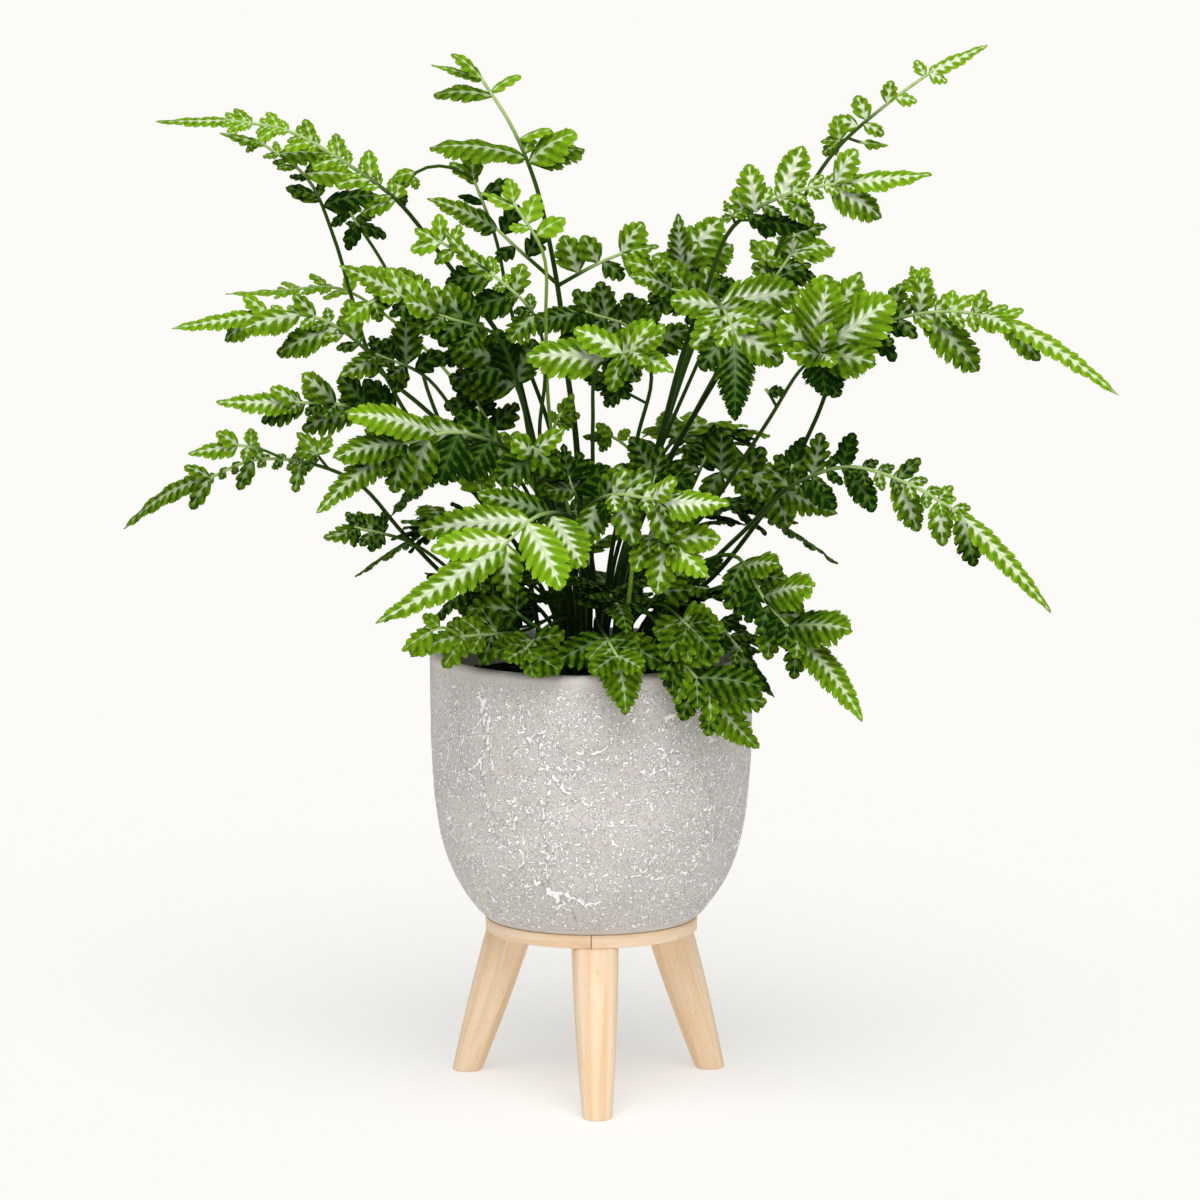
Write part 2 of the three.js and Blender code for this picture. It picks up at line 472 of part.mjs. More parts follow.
// The soil, with a plain hole for each stalk
function soilGeometry(roots) {
  const body = toSolid(turned([...cavityProfile(SOIL_TOP, FIT_GAP), [0, SOIL_TOP]], ROUND_SIDES));
  const holes = roots.map((root) => {
    const hole = new THREE.CylinderGeometry(HOLE_RADIUS, HOLE_RADIUS, HOLE_DEPTH + 4, HOLE_SIDES);
    hole.rotateX(Math.PI / 2).translate(root.x, root.y, SOIL_TOP - HOLE_DEPTH / 2 + 2);
    return toSolid(hole);
  });
  return toGeometry(body.subtract(wasm.Manifold.union(holes)));
}

function discGeometry() {
  const radius = STAND_RADIUS - BAND_THICKNESS - FIT_GAP;
  const underside = STAND_TOP - STAND_THICKNESS;
  return turned([[0, underside], [radius, underside], [radius, STAND_TOP], [0, STAND_TOP]], DISC_SIDES);
}

// The bent strip round the disc, open by a hair at the front where its ends butt
function bandGeometry() {
  const inner = STAND_RADIUS - BAND_THICKNESS;
  const half = BAND_BUTT_GAP / 2 / STAND_RADIUS;
  const start = -Math.PI / 2 + half;
  const end = 1.5 * Math.PI - half;
  const outline = new THREE.Shape();
  outline.absarc(0, 0, STAND_RADIUS, start, end, false);
  outline.absarc(0, 0, inner, end, start, true);
  const band = new THREE.ExtrudeGeometry(outline, {
    depth: STAND_THICKNESS, bevelEnabled: false, curveSegments: BAND_SEGMENTS,
  });
  return band.translate(0, 0, STAND_TOP - STAND_THICKNESS);
}

// A turned, tapered leg that leans outward, cut level at both ends
function legGeometry(angle) {
  const height = STAND_TOP - STAND_THICKNESS;
  const lean = (LEG_FOOT_REACH - LEG_TOP_REACH) / height;
  const radiusAt = (drop) => LEG_TOP_RADIUS
    - (LEG_TOP_RADIUS - LEG_FOOT_RADIUS) * Math.pow(drop, LEG_TAPER_POWER);
  const profile = [[0, 0], [radiusAt(1) - LEG_EDGE, 0], [radiusAt(1), LEG_EDGE]];
  for (const drop of LEG_STATIONS) profile.push([radiusAt(drop), height * (1 - drop)]);
  profile.push([radiusAt(0), height - LEG_TOP_EDGE], [radiusAt(0) - LEG_TOP_EDGE, height], [0, height]);
  const leg = turned(profile, LEG_SIDES);
  const place = leg.attributes.position;
  const stretch = Math.sqrt(1 + lean * lean);
  for (let i = 0; i < place.count; i++) {
    const x = place.getX(i) * stretch + LEG_TOP_REACH + lean * (height - place.getZ(i));
    place.setX(i, x);
  }
  return leg.rotateZ(angle);
}

// A point that shows at x, z in the mid plane, moved along the line of sight to a depth
function seen([x, z, depth]) {
  const scale = 1 + depth / EYE.distance;
  return new THREE.Vector3(EYE.x + (x - EYE.x) * scale, depth, EYE.z + (z - EYE.z) * scale);
}

// A hidden frond's entry: it rises, arches over and nods
function hiddenFrond([name, degrees, reach, height, lobe, pairs]) {
  const angle = THREE.MathUtils.degToRad(degrees);
  const at = (share, z) => new THREE.Vector3(Math.cos(angle) * reach * share,
    Math.sin(angle) * reach * share, z);
  const rise = height - SOIL_TOP;
  return {
    name, lobe, pairs, girth: 1.2, neck: 2, end: 0.5, wide: 0.24, long: 32, short: 26, face: 0,
    points: [at(0.16, SOIL_TOP + rise * 0.45), at(0.3, SOIL_TOP + rise * 0.8), at(0.42, height - 3),
      at(0.58, height), at(0.8, height - rise * 0.14), at(1, height - rise * 0.4)],
  };
}

// Spreads the roots in the crown until none is nearer another than the spacing
function spreadRoots(fronds) {
  const roots = fronds.filter((frond) => !frond.on);
  for (const frond of roots) {
    const first = frond.points[0];
    frond.root = new THREE.Vector2(first.x * ROOT_PULL, first.y * ROOT_PULL);
  }
  for (let round = 0; round < 200; round++) {
    for (let i = 0; i < roots.length; i++) {
      for (let j = i + 1; j < roots.length; j++) {
        const a = roots[i].root;
        const b = roots[j].root;
        const apart = Math.max(a.distanceTo(b), 0.01);
        const push = (ROOT_SPACING - apart) / 2 / apart;
        if (push <= 0) continue;
        const move = new THREE.Vector2(b.x - a.x, b.y - a.y + 0.01).multiplyScalar(push);
        a.sub(move);
        b.add(move);
      }
    }
    for (const frond of roots) {
      const out = frond.root.length();
      if (out > CROWN_RADIUS) frond.root.multiplyScalar(CROWN_RADIUS / out);
    }
  }
}

// Points along a polyline by distance
class Trail {
  constructor(points) {
    this.points = points;
    this.reach = [0];
    for (let i = 1; i < points.length; i++) {
      this.reach.push(this.reach[i - 1] + points[i].distanceTo(points[i - 1]));
    }
    this.length = this.reach[this.reach.length - 1];
  }

  at(distance) {
    let i = 1;
    while (i < this.points.length - 1 && this.reach[i] < distance) i++;
    const share = (distance - this.reach[i - 1]) / (this.reach[i] - this.reach[i - 1]);
    return this.points[i - 1].clone().lerp(this.points[i], Math.min(1, Math.max(0, share)));
  }

  directionAt(distance) {
    const ahead = this.at(Math.min(this.length, distance + 2));
    return ahead.sub(this.at(Math.max(0, distance - 2))).normalize();
  }
}

const FINE_STEPS = 12;

// Lays a frond's smooth course, and a stalk of straight runs along it up to the end lobe
function layFrond(frond) {
  const { points, root, neck, end } = frond;
  const course = root ? [new THREE.Vector3(root.x, root.y, SOIL_TOP + 3), ...points] : points;
  const curve = new THREE.CatmullRomCurve3(course, false, 'centripetal');
  const fine = new Trail(curve.getPoints(FINE_STEPS * (course.length - 1)));
  const neckReach = fine.reach[FINE_STEPS * (neck + (root ? 1 : 0))];
  const endReach = neckReach + (fine.length - neckReach) * end;
  const runs = Math.max(3, Math.round(endReach / STALK_STEP));
  frond.stalk = root ? [new THREE.Vector3(root.x, root.y, SOIL_TOP - HOLE_DEPTH + FIT_GAP)] : [];
  for (let i = 0; i <= runs; i++) frond.stalk.push(fine.at(endReach * i / runs));
  frond.neckShare = neckReach / endReach;
  frond.lobeTip = fine.at(fine.length).sub(fine.at(endReach));
}

// The nearest points of two straight runs: how far along each, and their distance
function nearestOnRuns(a0, a1, b0, b1) {
  const u = a1.clone().sub(a0);
  const v = b1.clone().sub(b0);
  const w = a0.clone().sub(b0);
  const a = u.dot(u);
  const b = u.dot(v);
  const c = v.dot(v);
  const d = u.dot(w);
  const e = v.dot(w);
  const clamp = (value) => Math.min(1, Math.max(0, value));
  const cross = a * c - b * b;
  let s = cross > 1e-9 ? clamp((b * e - c * d) / cross) : 0.5;
  const t = clamp((b * s + e) / c);
  s = clamp((b * t - d) / a);
  const gap = a0.clone().addScaledVector(u, s).sub(b0.clone().addScaledVector(v, t));
  return { s, t, distance: gap.length(), depth: gap.y };
}

const girthAt = (frond, share) => frond.girth + (STALK_TIP_GIRTH - frond.girth) * share;

// Bends stalks clear of each other, in depth only, so that each keeps its place from the front
function bendStalksClear(fronds) {
  const runs = [];
  fronds.forEach((frond, owner) => {
    for (let i = 1; i < frond.stalk.length; i++) {
      const girth = girthAt(frond, i / frond.stalk.length);
      runs.push({ frond, owner, i, girth });
    }
  });
  for (let round = 0; round < 120; round++) {
    const moves = fronds.map((frond) => frond.stalk.map(() => 0));
    for (let m = 0; m < runs.length; m++) {
      const p = runs[m];
      const [p0, p1] = [p.frond.stalk[p.i - 1], p.frond.stalk[p.i]];
      for (let n = m + 1; n < runs.length; n++) {
        const q = runs[n];
        if (p.frond === q.frond || p.frond.on === q.frond.name || q.frond.on === p.frond.name) continue;
        const [q0, q1] = [q.frond.stalk[q.i - 1], q.frond.stalk[q.i]];
        const need = p.girth + q.girth + STALK_CLEARANCE;
        if (Math.min(p0.z, p1.z) > Math.max(q0.z, q1.z) + need) continue;
        if (Math.min(q0.z, q1.z) > Math.max(p0.z, p1.z) + need) continue;
        if (Math.min(p0.x, p1.x) > Math.max(q0.x, q1.x) + need) continue;
        if (Math.min(q0.x, q1.x) > Math.max(p0.x, p1.x) + need) continue;
        const near = nearestOnRuns(p0, p1, q0, q1);
        if (near.distance >= need) continue;
        const push = (need - near.distance) * 0.3 * (near.depth >= 0 ? 1 : -1);
        moves[p.owner][p.i - 1] += push * (1 - near.s);
        moves[p.owner][p.i] += push * near.s;
        moves[q.owner][q.i - 1] -= push * (1 - near.t);
        moves[q.owner][q.i] -= push * near.t;
      }
    }
    fronds.forEach((frond, owner) => {
      const fixed = frond.on ? 1 : 2;
      for (let i = fixed; i < frond.stalk.length; i++) slide(frond.stalk[i], moves[owner][i]);
    });
  }
}

// Moves a point in depth along its line of sight
function slide(point, depth) {
  const scale = (EYE.distance + point.y + depth) / (EYE.distance + point.y);
  point.set(EYE.x + (point.x - EYE.x) * scale, point.y + depth, EYE.z + (point.z - EYE.z) * scale);
}

// Half width of a blade along its length, as a share of its greatest
const widthShare = (t, peak) => Math.pow(Math.max(0, Math.sin(Math.PI * Math.pow(t, peak))), 0.75);

// One blade: a leaflet or an end lobe, on an arched midrib from base past bend to tip
class Leaf {
  constructor(base, bend, tip, face, half, peak, teeth) {
    Object.assign(this, { base, bend, tip, half, peak, teeth });
    this.along = tip.clone().sub(base);
    this.length = this.along.length();
    this.along.divideScalar(this.length);
    this.across = new THREE.Vector3().crossVectors(face, this.along).normalize();
    this.up = new THREE.Vector3().crossVectors(this.along, this.across);
  }

  // The point at t along the midrib and v of the half width out from it
  point(t, v) {
    const middle = this.base.clone().multiplyScalar((1 - t) * (1 - t));
    middle.addScaledVector(this.bend, 2 * t * (1 - t));
    middle.addScaledVector(this.tip, t * t);
    const out = this.half * widthShare(t, this.peak) * v;
    middle.addScaledVector(this.across, out);
    return middle.addScaledVector(this.up, -KEEL * Math.abs(out) - CURL * out * out);
  }

  samples() {
    const points = [];
    const rows = Math.max(3, Math.ceil(this.length / SAMPLE_STEP));
    for (let i = 1; i <= rows; i++) {
      const t = i / rows;
      const half = this.half * widthShare(t, this.peak);
      const columns = Math.max(1, Math.ceil(half / SAMPLE_STEP));
      for (let j = -columns; j <= columns; j++) points.push(this.point(t, j / columns));
    }
    return points;
  }

  // A thin keeled plate with toothed edges, that runs to a point at its heel inside the stalk
  solid() {
    const edge = [];
    for (let i = 0; i < this.teeth; i++) {
      edge.push([(i + TOOTH.tip) / (this.teeth + TOOTH.end), 1]);
      if (i < this.teeth - 1) edge.push([(i + TOOTH.notch) / (this.teeth + TOOTH.end), 1 - TOOTH_DEPTH]);
    }
    const spine = this.teeth > 4 ? [SPINE_START, 0.4, 0.72] : [SPINE_START, 0.55];
    const vertices = [];
    const add = (point) => vertices.push(point) - 1;
    const rise = this.up.clone().multiplyScalar(BLADE_HALF_THICKNESS);
    const heel = add(this.base.clone().addScaledVector(this.along, -HEEL_DEPTH));
    const tip = add(this.point(1, 0));
    const top = spine.map((t) => add(this.point(t, 0).add(rise)));
    const bottom = spine.map((t) => add(this.point(t, 0).sub(rise)));
    const sides = [1, -1].map((side) => edge.map(([t, width]) => add(this.point(t, side * width))));
    const edgeAt = edge.map(([t]) => t);
    const triangles = [];
    sides.forEach((rim, k) => {
      for (const [middle, flip] of [[top, k === 0], [bottom, k === 1]]) {
        const strip = bladeStrip(spine, middle, edgeAt, rim, heel, tip);
        for (const [a, b, c] of strip) triangles.push(...(flip ? [a, c, b] : [a, b, c]));
      }
    });
    return new wasm.Manifold(new wasm.Mesh({
      numProp: 3,
      vertProperties: new Float32Array(vertices.flatMap((p) => [p.x, p.y, p.z])),
      triVerts: new Uint32Array(triangles),
    }));
  }
}

// Triangles between a midrib and an edge, which meet at the heel and at the tip
function bladeStrip(spineAt, spine, edgeAt, edge, heel, tip) {
  const triangles = [[heel, edge[0], spine[0]]];
  let i = 0;
  let j = 0;
  while (i < spine.length - 1 || j < edge.length - 1) {
    const spineNext = i < spine.length - 1 ? (spineAt[i] + spineAt[i + 1]) / 2 : 2;
    const edgeNext = j < edge.length - 1 ? edgeAt[j + 1] : 3;
    if (edgeNext <= spineNext) {
      triangles.push([spine[i], edge[j], edge[j + 1]]);
      j++;
    } else {
      triangles.push([spine[i], edge[j], spine[i + 1]]);
      i++;
    }
  }
  triangles.push([spine[i], edge[j], tip]);
  return triangles;
}

// Points of everything that has grown, to tell where there is room
class Thicket {
  constructor() {
    this.cells = new Map();
  }

  key(x, y, z) {
    return (x * 4001 + y) * 4001 + z;
  }

  add(point, radius, owner) {
    const key = this.key(...[point.x, point.y, point.z].map((value) => Math.floor(value / CELL)));
    if (!this.cells.has(key)) this.cells.set(key, []);
    this.cells.get(key).push({ point, radius, owner });
  }

  isClear(point, owner, base) {
    const [cx, cy, cz] = [point.x, point.y, point.z].map((value) => Math.floor(value / CELL));
    for (let x = cx - 1; x <= cx + 1; x++) {
      for (let y = cy - 1; y <= cy + 1; y++) {
        for (let z = cz - 1; z <= cz + 1; z++) {
          for (const other of this.cells.get(this.key(x, y, z)) ?? []) {
            const own = other.owner === owner;
            if (own && other.point.distanceTo(base) < LEAF_ROOT) continue;
            const need = (own ? OWN_CLEARANCE : LEAF_CLEARANCE) + other.radius;
            if (other.point.distanceTo(point) < need) return false;
          }
        }
      }
    }
    return true;
  }
}

// Whether a point is off the pot and the soil
function clearOfPot(point) {
  const out = Math.hypot(point.x, point.y);
  if (point.z > RIM_HEIGHT + 1.5 || out > POT_RADIUS + 1.5) return true;
  return out < POT_RADIUS - POT_WALL - 1.5 && point.z > SOIL_TOP + 1.5;
}

// Other ways to hold a leaflet that has no room: [swing, lift, share of its length]
const TRIES = [
  [0, 0, 1], [0, 12, 1], [0, -12, 1], [10, 0, 1], [-10, 0, 1], [0, 24, 1], [0, -24, 1], [14, 20, 0.9],
  [-14, -20, 0.9], [0, 0, 0.75], [0, 20, 0.75], [0, -20, 0.75], [0, 36, 0.8], [0, -36, 0.8],
  [0, 0, 0.55], [0, 25, 0.55], [0, -25, 0.55],
];

function leafletTeeth(length) {
  return length < LONG_LEAFLET ? 2 : 3;
}

// A leaflet from base toward tip, swung and lifted, or null where it has no room
function growLeaflet(frond, base, tip, half, peak, teeth, thicket, owner) {
  const reach = tip.clone().sub(base);
  const across = new THREE.Vector3().crossVectors(frond.normal, reach).normalize();
  const up = new THREE.Vector3().crossVectors(reach, across).normalize();
  for (const [swing, lift, share] of TRIES) {
    const turn = reach.clone().applyAxisAngle(up, THREE.MathUtils.degToRad(swing));
    turn.applyAxisAngle(across, THREE.MathUtils.degToRad(-lift)).multiplyScalar(share);
    const end = base.clone().add(turn);
    const bend = base.clone().addScaledVector(turn, 0.5);
    bend.addScaledVector(up, LEAF_ARCH * 2 * turn.length());
    const leaf = new Leaf(base, bend, end, frond.normal, half * share, peak, teeth);
    const samples = leaf.samples();
    if (samples.every((point) => clearOfPot(point) && thicket.isClear(point, owner, base))) {
      samples.forEach((point) => thicket.add(point, 0, owner));
      return leaf;
    }
  }
  return null;
}

// Grows a frond's end lobe and leaflets where there is room
function growLeaves(frond, thicket, owner) {
  const trail = new Trail(frond.root ? frond.stalk.slice(1) : frond.stalk);
  const neckReach = trail.length * frond.neckShare;
  const rachis = trail.length - neckReach;
  const base = trail.at(trail.length - 1.5);
  const lobeBase = trail.at(trail.length);
  const tip = lobeBase.clone().add(frond.lobeTip);
  const length = tip.distanceTo(base);
  const lobeTeeth = Math.min(6, Math.max(2, Math.round(length / LOBE_TOOTH)));
  const leaves = [growLeaflet(frond, base, tip, frond.lobe, LOBE_PEAK, lobeTeeth, thicket, owner)];
  const addLeaf = (share, end) => {
    const start = trail.at(neckReach + rachis * share);
    const span = end.distanceTo(start);
    const full = span * frond.wide * LEAFLET_FULLNESS;
    const half = Math.max(LEAFLET_HALF.least, Math.min(LEAFLET_HALF.most, full));
    const teeth = leafletTeeth(span);
    leaves.push(growLeaflet(frond, start, end, half, LEAFLET_PEAK, teeth, thicket, owner));
  };
  for (const [share, x, z, deeper] of frond.leaves ?? []) {
    const depth = trail.at(neckReach + rachis * share).y + deeper;
    addLeaf(share, seen([x, z, depth]));
  }
  for (let i = 0; i < (frond.pairs ?? 0); i++) {
    const share = (i + 0.15) / (frond.pairs - 0.2);
    const span = frond.long + (frond.short - frond.long) * share;
    const along = trail.directionAt(neckReach + rachis * share);
    const across = new THREE.Vector3().crossVectors(frond.normal, along).normalize();
    for (const side of [-1, 1]) {
      const open = THREE.MathUtils.degToRad(THREE.MathUtils.lerp(OPEN_ANGLE.first, OPEN_ANGLE.last, share));
      const start = trail.at(neckReach + rachis * share);
      const end = start.clone().addScaledVector(along, span * Math.cos(open));
      end.addScaledVector(across, side * span * Math.sin(open));
      addLeaf(share, end);
    }
  }
  frond.grown = leaves.filter((leaf) => leaf);
}

// A stalk's course for an extrusion, with a section at each of its corners
class StalkCurve extends THREE.Curve {
  constructor(points) {
    super();
    this.points = points;
  }

  getUtoTmapping(u) {
    return u;
  }

  getPoint(t, target = new THREE.Vector3()) {
    const runs = this.points.length - 1;
    const i = Math.min(runs - 1, Math.floor(t * runs));
    return target.copy(this.points[i]).lerp(this.points[i + 1], t * runs - i);
  }
}

// A tapering stalk of few sides
function stalkSolid(frond) {
  const corners = [];
  for (let i = 0; i < STALK_SIDES; i++) {
    const angle = 2 * Math.PI * i / STALK_SIDES;
    corners.push(new THREE.Vector2(Math.cos(angle), Math.sin(angle)));
  }
  const points = frond.stalk;
  const tube = new THREE.ExtrudeGeometry(new THREE.Shape(corners), {
    steps: points.length - 1, bevelEnabled: false, extrudePath: new StalkCurve(points),
  });
  const place = tube.attributes.position;
  const corner = new THREE.Vector3();
  for (let i = 0; i < place.count; i++) {
    corner.fromBufferAttribute(place, i);
    let nearest = 0;
    for (let k = 1; k < points.length; k++) {
      if (corner.distanceTo(points[k]) < corner.distanceTo(points[nearest])) nearest = k;
    }
    const girth = girthAt(frond, nearest / points.length);
    corner.sub(points[nearest]).setLength(girth).add(points[nearest]);
    place.setXYZ(i, corner.x, corner.y, corner.z);
  }
  return toSolid(tube);
}

// Sets out, bends clear and grows every frond
function growFern() {
  const fronds = [...FRONDS, ...HIDDEN_FRONDS.map(hiddenFrond)].map((frond) => {
    const tilt = THREE.MathUtils.degToRad(frond.face);
    const points = frond.points ?? frond.path.map(seen);
    return { ...frond, points, normal: new THREE.Vector3(0, -Math.sin(tilt), Math.cos(tilt)) };
  });
  spreadRoots(fronds);
  fronds.forEach(layFrond);
  bendStalksClear(fronds);
  const byName = new Map(fronds.map((frond, owner) => [frond.name, owner]));
  const ownerOf = (frond) => byName.get(frond.on ?? frond.name);
  const thicket = new Thicket();
  for (const frond of fronds) {
    const trail = new Trail(frond.stalk);
    const count = Math.ceil(trail.length / SAMPLE_STEP);
    for (let i = 0; i <= count; i++) {
      thicket.add(trail.at(trail.length * i / count), girthAt(frond, i / count) * 0.6, ownerOf(frond));
    }
  }
  for (const frond of fronds) growLeaves(frond, thicket, ownerOf(frond));
  return fronds;
}

const fern = new THREE.Group();
const fronds = growFern();

function addMesh(name, geometry, color, roughness) {
  const material = new THREE.MeshStandardMaterial({ color, roughness, metalness: 0 });
  const mesh = new THREE.Mesh(geometry, material);
  mesh.name = name;
  fern.add(mesh);
}

addMesh('pot', potGeometry(), CEMENT_GREY, 0.9);
const roots = fronds.filter((frond) => frond.root).map((frond) => frond.root);
addMesh('soil', soilGeometry(roots), SOIL_BROWN, 1);
addMesh('stand_disc', discGeometry(), WOOD_PALE, 0.6);
addMesh('stand_edge_band', bandGeometry(), WOOD_PALE, 0.6);
const LEG_NAMES = ['leg_front', 'leg_back_right', 'leg_back_left'];
for (let i = 0; i < LEG_COUNT; i++) {
  const angle = -Math.PI / 2 + LEG_TURN + 2 * Math.PI * i / LEG_COUNT;
  addMesh(LEG_NAMES[i], legGeometry(angle), WOOD_PALE, 0.6);
}
for (const frond of fronds.filter((entry) => !entry.on)) {
  const parts = [frond, ...fronds.filter((entry) => entry.on === frond.name)];
  const solids = parts.flatMap((entry) => [stalkSolid(entry), ...entry.grown.map((leaf) => leaf.solid())]);
  const color = frond.light ? STALK_LIGHT : LEAF_GREEN;
  const joined = wasm.Manifold.union(solids).asOriginal().simplify(FLATNESS);
  addMesh(frond.name, toGeometry(joined), color, 0.5);
}

export default fern;
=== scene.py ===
"""A potted silver lace fern on a small wooden stand, dressed for rendering.

The pot, the soil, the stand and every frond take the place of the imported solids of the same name.
Tables and sizes are in millimetres, as the part is drawn; meshes are in metres. The front of the
pot faces -Y, +Z is up, and the origin is on the floor under the pot's axis.
"""
import logging
import math
from dataclasses import dataclass, field
from enum import Enum
from typing import Callable, Optional

import bmesh
import bpy
import numpy as np
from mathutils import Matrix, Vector, noise


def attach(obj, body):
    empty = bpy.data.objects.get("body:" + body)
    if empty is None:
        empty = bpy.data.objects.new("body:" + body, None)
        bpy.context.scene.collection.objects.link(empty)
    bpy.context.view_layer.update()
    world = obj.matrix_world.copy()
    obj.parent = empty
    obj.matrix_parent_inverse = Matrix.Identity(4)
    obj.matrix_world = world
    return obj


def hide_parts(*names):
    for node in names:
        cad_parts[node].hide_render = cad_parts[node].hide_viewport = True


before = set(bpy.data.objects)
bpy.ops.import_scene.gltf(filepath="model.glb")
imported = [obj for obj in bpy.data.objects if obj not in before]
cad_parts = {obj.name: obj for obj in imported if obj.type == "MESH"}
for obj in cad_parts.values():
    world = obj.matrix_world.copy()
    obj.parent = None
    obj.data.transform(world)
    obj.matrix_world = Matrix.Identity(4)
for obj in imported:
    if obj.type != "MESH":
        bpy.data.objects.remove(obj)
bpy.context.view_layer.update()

MM = 0.001
Socket = bpy.types.NodeSocket
Row = tuple[float, ...]

# The fronds are set out as they are seen from the front, from this viewing point
EYE_X, EYE_Z, EYE_DISTANCE = 4.0, 619.0, 2600.0

# Pot, soil and stand
STAND_TOP = 81.5
RIM_HEIGHT = 206.0
POT_RADIUS = 75.0
POT_WALL = 6.5
POT_FLOOR = 8.0
POT_OUTSIDE = ((48.5, STAND_TOP), (52, 84.4), (58.2, 92.4), (64.2, 102.6), (69, 116), (72.4, 135),
               (74.3, 160), (POT_RADIUS, RIM_HEIGHT - 3))
SOIL_TOP = 192.0
HOLE_DEPTH = 12.0
FIT_GAP = 0.3
CROWN_RADIUS = 34.0
ROOT_SPACING = 5.8
POT_CLEARANCE = 1.5

# Fronds
STALK_STEP = 30.0
STALK_RISE = 3.0
STALK_TIP_GIRTH = 0.75
STALK_CLEARANCE = 1.5
FINE_STEPS = 12
LEAF_ARCH = 0.1
SAMPLE_STEP = 2.6
LEAF_CLEARANCE = 3.0
OWN_CLEARANCE = 1.9
LEAF_ROOT = 7.0
LEAF_SEED = 29


@dataclass
class Plan:
    """One frond as it is set out, in millimetres.

    path runs from above the crown to the tip as (x, z, depth). Each of leaves is (share of the
    rachis, x, z of the leaflet's tip, its depth past the rachis); a fifth value stands in for
    full, and a sixth shortens the dressed leaflet. Without leaves, pairs of leaflets run from
    long to short. face says how far the upper face tips from the sky to the viewer, in degrees.
    girth is the stalk's radius at its foot, neck where in path the leaflets start, end how far
    from neck to tip the end lobe starts, lobe its half width, and wide a leaflet's half width to
    its length. light marks a pale young frond. full widens the dressed blades, silver widens
    their silver, fill says how long the small leaflets in the gaps are, tip is the dressed end
    lobe's width to the solid's, shade how much the leaves round about darken the frond, and more
    how many pairs only the dressed frond has. on names the frond that a branch grows from.
    """

    name: str
    path: tuple[Row, ...] = ()
    leaves: tuple[Row, ...] = ()
    face: float = 0
    girth: float = 1.2
    neck: int = 2
    end: float = 0.5
    lobe: float = 8
    wide: float = 0.24
    pairs: int = 0
    long: float = 32
    short: float = 26
    light: bool = False
    full: float = 1.2
    silver: float = 0.75
    fill: float = 1
    tip: float = 0.85
    shade: float = 1.0
    more: int = 0
    on: Optional[str] = None


